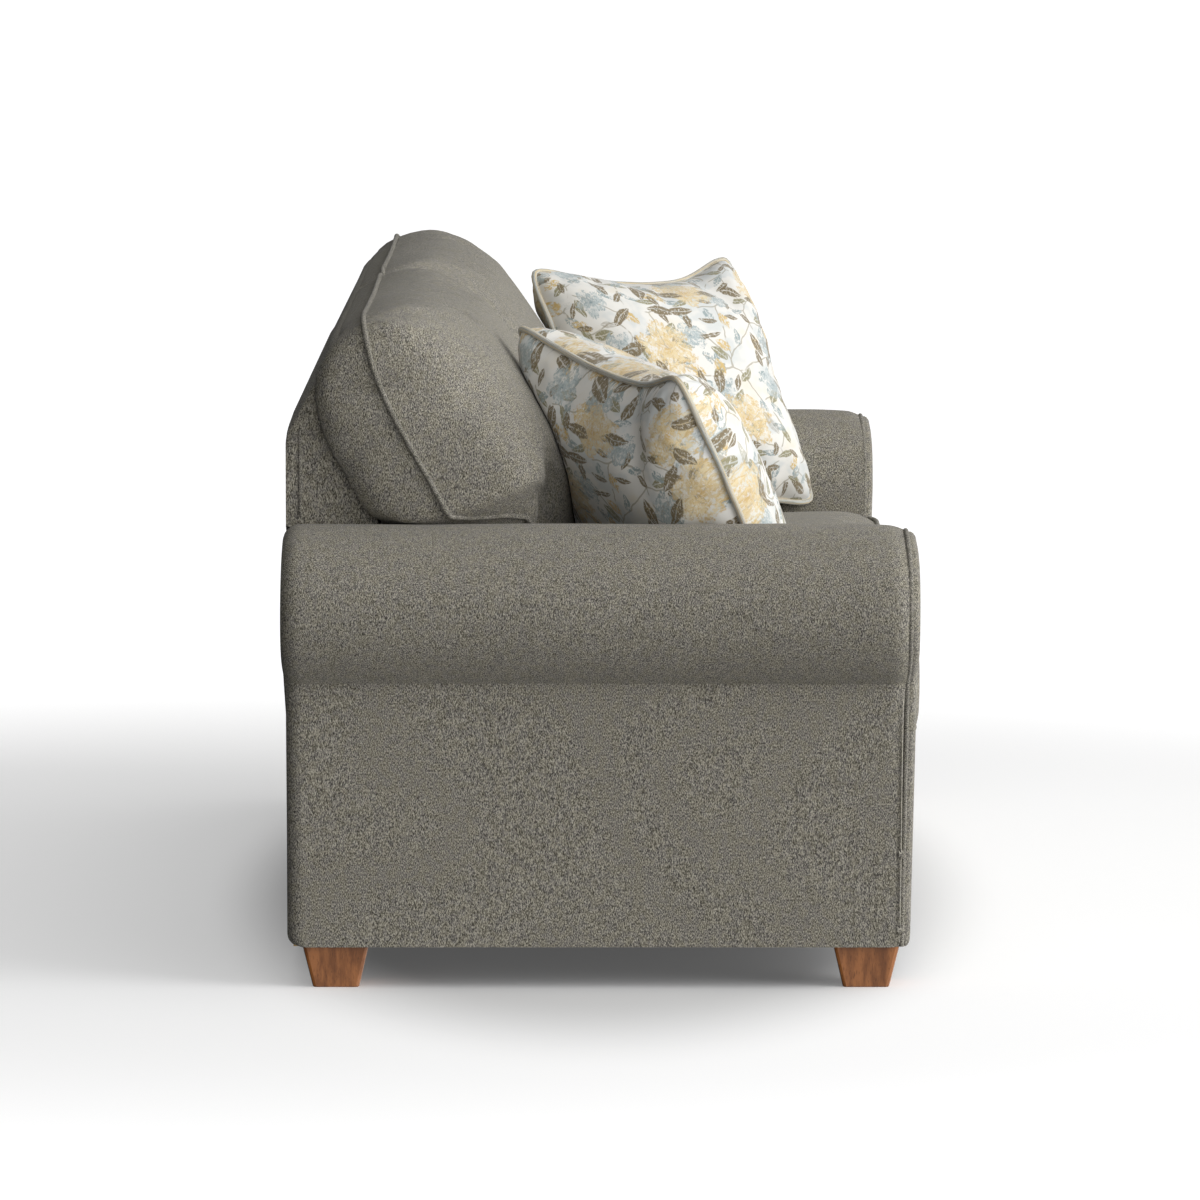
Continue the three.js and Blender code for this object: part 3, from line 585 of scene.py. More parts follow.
def arm_section(inset, foot_z=UNDERSIDE_Z, steps=ROLL_STEPS):
    """The arm's outline as X and Z, from the inner foot over the roll to the outer foot."""
    reach_x, reach_z = ROLL_RADIUS_X - inset, ROLL_RADIUS_Z - inset
    tuck = math.acos((PANEL_X - inset - ROLL_CENTRE_X) / reach_x)
    line = [(ARM_INNER_X + inset, foot_z)]
    for step in range(steps + 1):
        angle = math.pi - (math.pi + tuck) * step / steps
        line.append((ROLL_CENTRE_X + reach_x * math.cos(angle), ROLL_CENTRE_Z + reach_z * math.sin(angle)))
    line.append((PANEL_X - inset, foot_z))
    return line


print("roll turns", round(math.degrees(math.pi + TUCK_ANGLE)), "degrees")

# %% [markdown]
# The sheet gets rows along its depth, and its rear end is closed and rounded. The padding
# makes the roll stand a few millimetres further back than the panel under it, and gives all
# faces a slight softness. Solidify makes it a real cover with a thickness.

# %% Arm covers
REAR_ROUNDING = 0.026
FRONT_ROUNDING = 0.028
FRONT_DROP = 0.014
FRONT_SLOPE = 0.0045
ROLL_PROUD = 0.003
COVER_THICKNESS = 0.004
PANEL_ROWS = 47
CORNER_ROUNDING = 0.018
CORNER_ROWS = 5


def softened(piece, amount, scale, seed=0.0):
    """Moves each point a little along its normal, by a slow noise."""
    for vertex in piece.data.vertices:
        place = vertex.co * scale + Vector((seed, seed, seed))
        vertex.co += vertex.normal * noise.noise(place) * amount
    piece.data.update()
    return piece


def thickened(piece, thickness):
    modifier = piece.modifiers.new("thickness", "SOLIDIFY")
    modifier.thickness = thickness
    modifier.offset = -1
    return apply_all(piece)


def on_roll(z):
    """One on the roll, nought on the panel under it."""
    return 1 / (1 + math.exp(-(z - 0.455) / 0.012))


def front_step(z):
    """How much further back the front edge lies below the roll and at its very top."""
    top = min(max((z - 0.60) / 0.077, 0), 1)
    low = (1 - on_roll(z)) * (0.006 + 0.004 * (0.455 - min(z, 0.455)) / 0.39)
    return low + 0.005 * top * top


def arm_cover(name):
    piece = arm_sheet(name, FACING_BACK_Y, REAR_Y)
    shape(piece, "EDGE")
    pick(piece, lambda a, b: abs(a.y - b.y) > 0.1, "EDGE")
    bpy.ops.mesh.subdivide(number_cuts=ARM_ROWS)
    for vertex in bmesh.from_edit_mesh(piece.data).verts:
        share = (vertex.co.y - FACING_BACK_Y) / (REAR_Y - FACING_BACK_Y)
        vertex.co.y = FACING_BACK_Y + (REAR_Y - FACING_BACK_Y) * share * (0.15 + 0.85 * share)
    pick(piece, lambda a, b: a.x > ROLL_CENTRE_X and abs(a.z - b.z) > 0.2, "EDGE")
    bpy.ops.mesh.subdivide(number_cuts=PANEL_ROWS)
    pick(piece, lambda a, b: min(a.y, b.y) > REAR_Y - 0.0001, "EDGE")
    bpy.ops.mesh.edge_face_add()
    bpy.ops.mesh.bevel(offset=REAR_ROUNDING, segments=6, profile=0.55, affect="EDGES")
    for row in range(1, CORNER_ROWS + 1):
        bpy.ops.mesh.select_all(action="SELECT")
        height = UNDERSIDE_Z + CORNER_ROUNDING * row / CORNER_ROWS
        bpy.ops.mesh.bisect(plane_co=(0, 0, height), plane_no=(0, 0, 1))
    close_shape(piece)
    turn_outwards(piece)
    for vertex in piece.data.vertices:
        below = min(max(0.0, CORNER_ROUNDING - (vertex.co.z - UNDERSIDE_Z)), CORNER_ROUNDING)
        drawn = CORNER_ROUNDING - math.sqrt(CORNER_ROUNDING ** 2 - below ** 2)
        for corner_y, inward in ((REAR_Y, -1), (FACING_BACK_Y, 0.25)):
            close = max(0.0, 1 - abs(vertex.co.y - corner_y) / 0.05)
            vertex.co.y += inward * drawn * close
        near_rear = max(0.0, 1 - (REAR_Y - vertex.co.y) / 0.06) ** 2
        lift = on_roll(vertex.co.z)
        vertex.co.y += near_rear * ROLL_PROUD * (2 * lift - 1)
        near_front = min(max(0.0, 1 - (vertex.co.y - FACING_BACK_Y) / FRONT_ROUNDING), 1.0)
        round_off = 1 - math.sqrt(1 - 0.98 * near_front * near_front)
        slope = FRONT_SLOPE * max(0.0, 1 - (vertex.co.y - FACING_BACK_Y) / 0.10) ** 2
        off_seat = min(max(1 + 1.2 * vertex.normal.x, 0), 1)
        inward = FRONT_DROP * (0.55 + 0.35 * lift) * round_off * off_seat
        vertex.co.x -= vertex.normal.x * inward
        vertex.co.z -= vertex.normal.z * inward + max(vertex.normal.z, 0.0) * slope * lift
        if vertex.normal.x > -0.9 or vertex.co.z > ROLL_CENTRE_Z - 0.05:
            vertex.co.y += front_step(vertex.co.z) * near_front
    softened(piece, 0.0022, 3.5, 4.0)
    thickened(piece, COVER_THICKNESS)
    return smooth(turn_outwards(piece), 50)


arm_right = arm_cover("cover_arm_right")
arm_left = mirrored(arm_right, "cover_arm_left")
arms = {"left": arm_left, "right": arm_right}
for word, piece in arms.items():
    piece.data.materials.append(TWEED)
    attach(piece, "sofa_frame")
    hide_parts(f"arm_{word}")
print("arm cover has", len(arm_right.data.polygons), "faces")

# %% [markdown]
# The front of each arm is a scrolled facing: a padded board cut to the arm's outline. The
# outline is a filled circle whose rim is moved, pulled forward and inset three times, so
# its edge is domed and its middle almost flat. A welt runs round it in the groove.

# %% Facings and their welts
FACING_INSET = 0.0112
WELT_INSET = 0.0098
TURN_IN_INSET = 0.0092
ARM_WELT_RADIUS = 0.0038
SEAT_SIDE_REACH = 0.0050


def nearer_seat(x):
    """Brings the front's edge out to the inner wall, where the cover is not drawn in."""
    share = min(max((ROLL_CENTRE_X - abs(x)) / (ROLL_CENTRE_X - ARM_INNER_X), 0), 1)
    return math.copysign(abs(x) - SEAT_SIDE_REACH * share * share, x)


def turn_in(name, side):
    """The cover's edge, turned in behind the facing so that no wood shows in the groove."""
    points = [(nearer_seat(side * x), FACING_BACK_Y + 0.0004 + front_step(z), z)
              for x, z in arm_section(TURN_IN_INSET)]
    piece = outline_of(name, points)
    shape(piece, "FACE")
    bpy.ops.mesh.select_all(action="SELECT")
    extrude((0, 0.016, 0))
    close_shape(piece)
    return smooth(turn_outwards(piece), 40)


def facing(name, side):
    points = [(side * x, FACING_BACK_Y - 0.0003, z) for x, z in arm_section(FACING_INSET)]
    piece = outline_of(name, points)
    turn_outwards(piece)
    shape(piece, "FACE")
    bpy.ops.mesh.select_all(action="SELECT")
    extrude((0, -0.0075, 0))
    pick(piece, lambda middle, normal: middle.y < FACING_BACK_Y - 0.007, "FACE")
    form = bmesh.from_edit_mesh(piece.data)
    outward = -1 if next(f for f in form.faces if f.select).normal.y > 0 else 1
    for thickness, depth in ((0.0022, 0.0035), (0.0045, 0.0026), (0.012, 0.0014), (0.03, 0.0006)):
        bpy.ops.mesh.inset(thickness=thickness, depth=depth * outward)
    close_shape(piece)
    for vertex in piece.data.vertices:
        ahead = min(max((FACING_BACK_Y - vertex.co.y) / 0.008, 0), 1)
        vertex.co.y += front_step(vertex.co.z)
        vertex.co.y -= 0.001 * ahead * on_roll(vertex.co.z)
        vertex.co.x = nearer_seat(vertex.co.x)
    turn_outwards(piece)
    return smooth(piece, 55)


for word, side in SIDES:
    front = facing(f"facing_arm_{word}", side)
    front.data.materials.append(TWEED)
    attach(front, "sofa_frame")
    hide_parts(f"arm_facing_{word}")
    edge = turn_in(f"turn_in_arm_{word}", side)
    edge.data.materials.append(TWEED)
    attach(edge, "sofa_frame")
    path = [(nearer_seat(side * x), FACING_BACK_Y - 0.0016 + front_step(z), z)
            for x, z in arm_section(WELT_INSET, steps=40)]
    welt = cord_of(f"welt_arm_{word}", path, ARM_WELT_RADIUS)
    welt.data.materials.append(WELT_TWEED)
    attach(welt, "sofa_frame")
    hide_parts(f"arm_welt_{word}")
print("facings and welts made")

# %% [markdown]
# The back is covered in one piece too: up the outside, forward over the bend to the top
# edge, and down the leaning inside face. A plane is the outside back, and its top edge is
# pulled on from point to point. Its two ends are then closed, and their rims bevelled.

# %% Back cover
BACK_LINE = (
    (0.462, 0.800), (0.4605, 0.8125), (0.456, 0.825), (0.449, 0.8355), (0.403, 0.928),
    (0.3985, 0.9385), (0.391, 0.9475), (0.382, 0.951), (0.370, 0.951), (0.3615, 0.9455),
    (0.356, 0.933), (0.286, 0.350), (0.2798, 0.2985))
BACK_ROWS = 44
BACK_RIM = 0.009
BACK_TOP_Z = 0.951
BACK_CORNER_LENGTH = 0.20
BACK_CORNER_DROP = 0.030


def back_corner_drop(x):
    """How much lower the top of the back is towards its two ends."""
    share = np.clip((abs(x) - BACK_HALF_LENGTH + BACK_CORNER_LENGTH) / BACK_CORNER_LENGTH, 0, 1)
    return BACK_CORNER_DROP * (1 - np.sqrt(1 - 0.999 * share * share))


def ease_corners(piece):
    """Lowers the upper corners of the back, and puts more rows near its ends."""
    for vertex in piece.data.vertices:
        share = vertex.co.x / BACK_HALF_LENGTH
        vertex.co.x = BACK_HALF_LENGTH * (0.45 * math.sin(share * math.pi / 2) + 0.55 * share)
        rise = min(max((vertex.co.z - 0.60) / (BACK_TOP_Z - 0.60), 0), 1)
        vertex.co.z -= float(back_corner_drop(vertex.co.x)) * rise * rise
    piece.data.update()


def back_cover(name):
    rear = BACK_LINE[0][0] + ORIGIN_SHIFT
    half = BACK_HALF_LENGTH
    piece = sheet_of(name, (
        (half, rear, UNDERSIDE_Z), (-half, rear, UNDERSIDE_Z),
        (half, rear, BACK_LINE[0][1]), (-half, rear, BACK_LINE[0][1])))
    shape(piece, "EDGE")
    pick(piece, lambda a, b: min(a.z, b.z) > BACK_LINE[0][1] - 0.001, "EDGE")
    for (y0, z0), (y1, z1) in zip(BACK_LINE, BACK_LINE[1:]):
        extrude((0, y1 - y0, z1 - z0))
    pick(piece, lambda a, b: abs(a.x - b.x) > 1, "EDGE")
    bpy.ops.mesh.subdivide(number_cuts=BACK_ROWS)
    for side in (1, -1):
        pick(piece, lambda a, b: min(side * a.x, side * b.x) > half - 0.0001, "EDGE")
        bpy.ops.mesh.edge_face_add()
        pick(piece, lambda a, b: min(side * a.x, side * b.x) > half - 0.0001
             and max(a.z, b.z) > 0.36 and abs(a.z - b.z) < 0.6, "EDGE")
        bpy.ops.mesh.bevel(offset=BACK_RIM, segments=3, profile=0.6, affect="EDGES")
    close_shape(piece)
    ease_corners(piece)
    turn_outwards(piece)
    return piece


back = back_cover("cover_back")
print("back cover has", len(back.data.polygons), "faces")

# %% [markdown]
# The back sits between the rolls, so the arms are taken out of it. A block with the arm's
# outline, a hair larger than the arm, is subtracted with a Boolean.

# %% Fit the back between the arms
def arm_block(side, clearance):
    """A solid with the arm's outline, for cutting what lies beside the arm."""
    points = [(side * x, FRONT_Y - 0.1, z) for x, z in arm_section(-clearance, -0.1)]
    piece = outline_of("arm_block", points)
    shape(piece, "FACE")
    bpy.ops.mesh.select_all(action="SELECT")
    extrude((0, REAR_Y - FRONT_Y + 0.2, 0))
    close_shape(piece)
    return turn_outwards(piece)


def carve(piece, blocks):
    for block in blocks:
        modifier = piece.modifiers.new("fit", "BOOLEAN")
        modifier.operation = "DIFFERENCE"
        modifier.solver = "EXACT"
        modifier.object = block
        apply_all(piece)
    return piece


def delete(pieces):
    for piece in pieces:
        bpy.data.objects.remove(piece)


thickened(back, COVER_THICKNESS)
blocks = [arm_block(side, CLOTH_GAP) for _, side in SIDES]
carve(back, blocks)
delete(blocks)
turn_outwards(back)
smooth(back, 45)
back.data.materials.append(TWEED)
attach(back, "sofa_frame")
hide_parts("outside_back", "inside_back", "back_end_panel_left", "back_end_panel_right")
print("back fitted,", len(back.data.polygons), "faces")

# %% [markdown]
# Seams show on each end of the back: one runs up the end behind the front pad, and one runs
# across it at the height of the bend. They are thin ridges of the turned-in cloth.

# %% Seams on the ends of the back
SEAM_RADIUS = 0.0022


def seam_point(y, z, side):
    return (side * (BACK_HALF_LENGTH + 0.0004), y + ORIGIN_SHIFT, z)


UPRIGHT_SEAM = [(0.441, 0.686 + 0.0115 * step) for step in range(12)]
ACROSS_SEAM = [(0.452 - 0.0105 * step, 0.806 + 0.0006 * step) for step in range(7)]
for word, side in SIDES:
    for kind, line in (("upright", UPRIGHT_SEAM), ("across", ACROSS_SEAM)):
        seam = cord_of(f"seam_back_{kind}_{word}", [seam_point(y, z, side) for y, z in line], SEAM_RADIUS)
        seam.data.materials.append(WELT_TWEED)
        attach(seam, "sofa_frame")
print("back seams made")

# %% [markdown]
# Under the seat cushions a padded border closes the front, with a rounded nosing on top, and
# a platform cloth lies over the springs. Each is an outline seen from the end of the sofa,
# pulled along its length, then given rows; the border also gets a slight softness.

# %% Front border and deck
BETWEEN_ARMS = ARM_INNER_X - 0.0008
BORDER_LINE = (
    (-0.455, 0.062), (-0.455, 0.320), (-0.4538, 0.3308), (-0.4502, 0.3392), (-0.4442, 0.3452),
    (-0.4358, 0.3488), (-0.425, 0.350), (-0.375, 0.350), (-0.375, 0.336), (-0.425, 0.336),
    (-0.4335, 0.3325), (-0.4385, 0.3265), (-0.441, 0.318), (-0.441, 0.062))
DECK_LINE = (
    (-0.374, 0.3005), (-0.374, 0.346), (-0.370, 0.350), (0.278, 0.350), (0.284, 0.346),
    (0.2785, 0.3005))


def pulled_along(name, line, half_length, rows):
    points = [(-half_length, y + ORIGIN_SHIFT, z) for y, z in line]
    piece = outline_of(name, points)
    shape(piece, "FACE")
    bpy.ops.mesh.select_all(action="SELECT")
    extrude((2 * half_length, 0, 0))
    pick(piece, lambda a, b: abs(a.x - b.x) > half_length, "EDGE")
    bpy.ops.mesh.subdivide(number_cuts=rows)
    close_shape(piece)
    return turn_outwards(piece)


border = pulled_along("cover_front_border", BORDER_LINE, BETWEEN_ARMS, 46)
shape(border, "EDGE")
pick(border, lambda a, b: abs(a.x - b.x) < 0.001 and abs(a.z - b.z) > 0.2, "EDGE")
bpy.ops.mesh.subdivide(number_cuts=8)
close_shape(border)
softened(border, 0.0016, 4.0, 9.0)
smooth(border, 50)
deck = pulled_along("cover_deck", DECK_LINE, BETWEEN_ARMS, 30)
smooth(deck, 40)
for piece, node, material, slot in (
        (border, "front_border", TWEED, "cloth"), (deck, "seat_deck", PLATFORM_CLOTH, "padding")):
    piece.data.materials.append(material)
    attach(piece, "sofa_frame")
    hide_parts(node)
print("border and deck made")

# %% [markdown]
# Cushions are cloth bags full of foam and fibre. Each starts from grid primitives whose
# points are moved by a formula: a share u across and a share v up give a place on the seam's
# plane, and a crown lifts it off the plane. Then Blender's cloth blows it up a little, with
# its seams pinned, so that the cloth puckers along the seams as sewn cloth does.

# %% Plan of a cushion
CORNER_SHARPNESS = 16


def plan(u, v, draw_in_u, draw_in_v):
    """Rounds the corners of a unit square and draws its sides in between them."""
    reach = np.maximum(np.maximum(abs(u), abs(v)), 1e-9)
    edge_u, edge_v = u / reach, v / reach
    spread = abs(edge_u) ** CORNER_SHARPNESS + abs(edge_v) ** CORNER_SHARPNESS
    rounding = np.maximum(spread, 1e-9) ** (-1 / CORNER_SHARPNESS)
    return (u * rounding * (1 - draw_in_u * (1 - edge_v ** 2)),
            v * rounding * (1 - draw_in_v * (1 - edge_u ** 2)))


def crown(share, fullness, softness):
    return np.clip(1 - abs(share) ** fullness, 0, 1) ** softness


def points_of(piece):
    flat = np.zeros(len(piece.data.vertices) * 3)
    piece.data.vertices.foreach_get("co", flat)
    return flat.reshape(-1, 3)


def set_points(piece, points):
    piece.data.vertices.foreach_set("co", points.reshape(-1))
    piece.data.update()


def named_points(piece, name, chosen):
    group = piece.vertex_groups.get(name) or piece.vertex_groups.new(name=name)
    group.add([int(i) for i in np.flatnonzero(chosen)], 1.0, "REPLACE")


def smoothstep(values, low, high):
    share = np.clip((values - low) / (high - low), 0, 1)
    return share * share * (3 - 2 * share)


print("cushion plan ready")

# %% [markdown]
# A cushion must stop at whatever it touches: the rolls, the inside back, the seat. Each of
# these rules moves the points that went too far back to the surface they pressed on.

# %% What cushions rest on
SEAT_HALF_WIDTH = 0.4386
SEAT_HALF_LENGTH = 0.3777
SEAT_CENTRE_Y = -0.0883
SEAT_FOOT_Z = 0.3503
SEAT_WELT_Z = 0.5023
SEAT_CROWN = 0.034
SEAT_FALL = 0.030
BACK_FACE_HEAD = (0.356 + ORIGIN_SHIFT, 0.935)
BACK_FACE_FOOT = (0.286 + ORIGIN_SHIFT, 0.350)
BACK_TOP_REAR_Y = 0.384 + ORIGIN_SHIFT
OVERHANG = 0.045


def off_arms(points, gap=0.0008):
    """Pushes points out of the rolls and off the inner walls."""
    moved = points.copy()
    side = np.sign(points[:, 0])
    across = abs(points[:, 0]) - ROLL_CENTRE_X
    up = points[:, 2] - ROLL_CENTRE_Z
    share = np.hypot(across / (ROLL_RADIUS_X + gap), up / (ROLL_RADIUS_Z + gap))
    low = (up <= 0) & (across > -ROLL_RADIUS_X - gap)
    moved[low, 0] = side[low] * (ARM_INNER_X - gap)
    high = (up > 0) & (share < 1) & (share > 0)
    grow = 1 / share[high]
    moved[high, 0] = side[high] * (ROLL_CENTRE_X + across[high] * grow)
    moved[high, 2] = ROLL_CENTRE_Z + up[high] * grow
    return moved


def back_face_y(z):
    (head_y, head_z), (foot_y, foot_z) = BACK_FACE_HEAD, BACK_FACE_FOOT
    return foot_y + (np.minimum(z, head_z) - foot_z) * (head_y - foot_y) / (head_z - foot_z)


def off_back(points, gap=0.001):
    """Keeps points in front of the inside back or, near its top edge, on top of it."""
    moved = points.copy()
    top = BACK_TOP_Z - back_corner_drop(points[:, 0]) + gap
    onto = (points[:, 2] > top - OVERHANG) & (points[:, 1] > back_face_y(points[:, 2]) + 0.012)
    onto &= abs(points[:, 0]) < BACK_HALF_LENGTH
    moved[onto, 2] = np.maximum(points[onto, 2], top[onto])
    moved[onto, 1] = np.minimum(points[onto, 1], BACK_TOP_REAR_Y)
    beyond_end = smoothstep(abs(points[:, 0]), BACK_HALF_LENGTH + 0.002, BACK_HALF_LENGTH + 0.012)
    free = np.where(onto | (points[:, 2] > top), 1.0, beyond_end * 0.12)
    moved[:, 1] = np.minimum(moved[:, 1], back_face_y(points[:, 2]) - gap + free)
    return moved


def seat_top(x, y):
    u = (abs(x) - SEAT_HALF_WIDTH - CLOTH_GAP) / SEAT_HALF_WIDTH
    v = (y - SEAT_CENTRE_Y) / SEAT_HALF_LENGTH
    return (SEAT_WELT_Z + SEAT_CROWN * np.sqrt(crown(u, 2.4, 1) * crown(v, 10, 1))
            - SEAT_FALL * (np.clip(v, -1, 1) + 1) / 2)


def off_seat(points, gap=0.004):
    moved = points.copy()
    over = abs(points[:, 0]) < ARM_INNER_X + 0.03
    top = seat_top(points[:, 0], points[:, 1]) + gap
    moved[over, 2] = np.maximum(points[over, 2], top[over])
    return moved


print("seat crown", round(float(seat_top(np.array([0.44]), np.array([-0.35]))[0]), 4))

# %% [markdown]
# Two grids make the front and the rear of a bag, joined along the seam. The flat cloth
# coordinates are kept as a UV map in metres, so a print follows the cloth.

# %% Sewn bag
def sewn_bag(name, place, columns, rows, size):
    halves = []
    for face in (1, -1):
        clear_selection()
        bpy.ops.mesh.primitive_grid_add(x_subdivisions=columns, y_subdivisions=rows, size=2)
        half = bpy.context.object
        shares = points_of(half)
        edge = np.maximum(abs(shares[:, 0]), abs(shares[:, 1])) > 1 - 1e-5
        eased = np.sin(shares[:, :2] * (math.pi / 2)) * 0.35 + shares[:, :2] * 0.65
        set_points(half, place(eased[:, 0], eased[:, 1], face))
        named_points(half, "seam", edge)
        cloth = half.data.uv_layers.active
        cloth.name = "cloth"
        flat = np.zeros(len(half.data.loops) * 2)
        cloth.data.foreach_get("uv", flat)
        flat = flat.reshape(-1, 2) * size + (0.0 if face > 0 else 3.7)
        cloth.data.foreach_set("uv", flat.reshape(-1))
        if face < 0:
            half.data.flip_normals()
        halves.append(half)
    clear_selection()
    for half in halves:
        half.select_set(True)
    bpy.context.view_layer.objects.active = halves[0]
    bpy.ops.object.join()
    bag = bpy.context.object
    bag.name = bag.data.name = name
    shape(bag)
    bpy.ops.mesh.select_all(action="SELECT")
    bpy.ops.mesh.remove_doubles(threshold=0.00002)
    bpy.ops.mesh.normals_make_consistent(inside=False)
    return close_shape(bag)


def seam_line(place, count):
    """Places along the seam, once round."""
    run = np.linspace(-1, 1, count, endpoint=False)
    one = np.ones(count)
    u = np.concatenate([run, one, -run, -one])
    v = np.concatenate([-one, run, one, -run])
    return place(u, v, 1)


print("sewn bag ready")

# %% [markdown]
# The filling: cloth with pressure inside and no gravity, for twenty steps. The cloth is cut a
# little larger than its shape, as fabric over fibre is. Afterwards no point may have moved
# further than a cap, and every rule about neighbours is applied.

# %% Filling
from mathutils.bvhtree import BVHTree

FILL_STEPS = 20
WELT_PROUD = 0.65


def stuffed(piece, pressure, cap, looseness, rules, stiffness=14.0):
    before = points_of(piece)
    cloth = piece.modifiers.new("filling", "CLOTH")
    settings = cloth.settings
    settings.quality = 5
    settings.mass = 0.3
    settings.tension_stiffness = settings.compression_stiffness = stiffness
    settings.shear_stiffness = stiffness / 2
    settings.bending_stiffness = 0.6
    settings.use_pressure = True
    settings.uniform_pressure_force = pressure
    settings.shrink_min = -looseness
    settings.vertex_group_mass = "seam"
    settings.effector_weights.gravity = 0
    cloth.point_cache.frame_start = 1
    cloth.point_cache.frame_end = FILL_STEPS
    for step in range(1, FILL_STEPS + 1):
        bpy.context.scene.frame_set(step)
    filled = piece.evaluated_get(bpy.context.evaluated_depsgraph_get())
    after = np.array([v.co for v in filled.data.vertices])
    piece.modifiers.remove(cloth)
    bpy.context.scene.frame_set(1)
    move = after - before
    far = np.linalg.norm(move, axis=1)
    move *= np.minimum(1, cap / np.maximum(far, 1e-9))[:, None]
    print(piece.name, "moved", round(float(far.mean()) * 1000, 1), "mm, most",
          round(float(far.max()) * 1000, 1), "mm")
    before = before + move
    for rule in rules:
        before = rule(before)
    set_points(piece, before)
    return piece


def finish_cushion(piece, node, material, body):
    subdivided(piece, 1)
    take(piece)
    bpy.ops.object.shade_smooth()
    piece.data.materials.clear()
    piece.data.materials.append(material)
    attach(piece, body)
    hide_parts(node)
    return piece


def on_cloth(piece, line, normal, radius):
    """Moves a seam line out to where the cloth is, so that its cord stands proud of it."""
    mesh = piece.data
    tree = BVHTree.FromPolygons([v.co for v in mesh.vertices], [p.vertices for p in mesh.polygons])
    outward = np.cross(np.roll(line, -1, axis=0) - np.roll(line, 1, axis=0), normal)
    outward /= np.maximum(np.linalg.norm(outward, axis=1), 1e-9)[:, None]
    if np.sum((line - line.mean(axis=0)) * outward) < 0:
        outward = -outward
    placed = line.copy()
    for index, (point, way) in enumerate(zip(line, outward)):
        hit = tree.ray_cast(Vector(point + way * 0.05), Vector(-way), 0.09)[0]
        if hit is not None:
            placed[index] = np.array(hit) + way * radius * WELT_PROUD
    return (np.roll(placed, 1, axis=0) + 2 * placed + np.roll(placed, -1, axis=0)) / 4


def sew_welt(name, points, radius, material, body, closed=True):
    welt = cord_of(name, [tuple(p) for p in points], radius, closed)
    welt.data.materials.append(material)
    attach(welt, body)
    return welt


print("filling ready")

# %% [markdown]
# A seat cushion is a box: a crowned top, a band round it and a flat underside, with a welt at
# the top and the bottom of the band. A cube primitive is subdivided and its faces are moved
# to these three parts.

# %% Seat cushions
SEAT_CUTS = 22
SEAT_DRAW_IN = 0.007
SEAT_NOSE = 0.007
SEAT_WELT_RADIUS = 0.0038


def seat_place(shares, side):
    u, v, w = shares.T
    flat_u, flat_v = plan(u, v, SEAT_DRAW_IN / SEAT_HALF_WIDTH, SEAT_DRAW_IN / SEAT_HALF_LENGTH)
    rise = (w + 1) / 2
    nose = 4 * rise * (1 - rise) * SEAT_NOSE
    x = side * (SEAT_HALF_WIDTH + CLOTH_GAP) + flat_u * (SEAT_HALF_WIDTH - 0.003) + u * nose * (abs(u) > 0.999)
    y = SEAT_CENTRE_Y + flat_v * SEAT_HALF_LENGTH + v * nose * (abs(v) > 0.999)
    top = (SEAT_WELT_Z + SEAT_CROWN * np.sqrt(crown(u, 2.4, 1) * crown(v, 10, 1)) - SEAT_FALL * (v + 1) / 2)
    return np.column_stack([x, y, SEAT_FOOT_Z + (top - SEAT_FOOT_Z) * rise])


def seat_rules(side):
    middle = side * (SEAT_HALF_WIDTH + CLOTH_GAP)

    def keep(points):
        moved = points.copy()
        moved[:, 0] = np.clip(points[:, 0], middle - SEAT_HALF_WIDTH, middle + SEAT_HALF_WIDTH)
        moved[:, 1] = np.clip(points[:, 1], SEAT_CENTRE_Y - SEAT_HALF_LENGTH - 0.004,
                              SEAT_CENTRE_Y + SEAT_HALF_LENGTH)
        moved[:, 2] = np.clip(points[:, 2], SEAT_FOOT_Z, seat_top(points[:, 0], points[:, 1]) + 0.003)
        return moved

    return keep


def seat_seam(side, level, count=40):
    run = np.linspace(-1, 1, count, endpoint=False)
    one = np.ones(count)
    u = np.concatenate([run, one, -run, -one])
    v = np.concatenate([-one, run, one, -run])
    line = seat_place(np.column_stack([u, v, np.full(4 * count, level)]), side)
    inward = np.column_stack([side * SEAT_HALF_WIDTH - line[:, 0], SEAT_CENTRE_Y - line[:, 1]])
    inward /= np.linalg.norm(inward, axis=1)[:, None]
    line[:, 0] -= np.clip(u, -1, 1) * 0.002 * (abs(u) > 0.99)
    line[:, 2] += (0.0015 if level > 0 else SEAT_WELT_RADIUS)
    return line


for word, side in SIDES:
    clear_selection()
    bpy.ops.mesh.primitive_cube_add(size=2)
    seat = bpy.context.object
    seat.name = seat.data.name = f"cushion_seat_{word}"
    shape(seat)
    bpy.ops.mesh.select_all(action="SELECT")
    bpy.ops.mesh.subdivide(number_cuts=SEAT_CUTS)
    close_shape(seat)
    shares = points_of(seat)
    rim = (abs(shares[:, 2]) > 0.999) & (np.maximum(abs(shares[:, 0]), abs(shares[:, 1])) > 0.999)
    named_points(seat, "seam", rim | (shares[:, 2] < -0.999))
    set_points(seat, seat_place(shares, side))
    stuffed(seat, 2.0, 0.012, 0.012, [seat_rules(side)])
    finish_cushion(seat, f"seat_cushion_{word}", TWEED, f"seat_cushion_{word}")
    for level, where in ((1, "top"), (-1, "foot")):
        sew_welt(f"welt_seat_{where}_{word}", seat_seam(side, level), SEAT_WELT_RADIUS,
                 WELT_TWEED, f"seat_cushion_{word}")
print("seat cushions made")

# %% [markdown]
# A back cushion leans on the inside back and spreads over the arm as an ear. Its plane leans
# with it. The outer edge follows the arm: up the inner wall, round the roll, and out to the
# ear's end. The crown is deep and full to the edges, and sags a little towards the foot.

# %% Back cushions
LEAN = math.radians(23.3)
BACK_HEAD = (0.348 + ORIGIN_SHIFT, 0.982)
BACK_FOOT_Z = 0.514
EAR_END_X = 1.004
FRONT_CROWN = 0.166
REAR_CROWN = 0.150
REAR_PEAK = 0.24
BACK_WELT_RADIUS = 0.0041


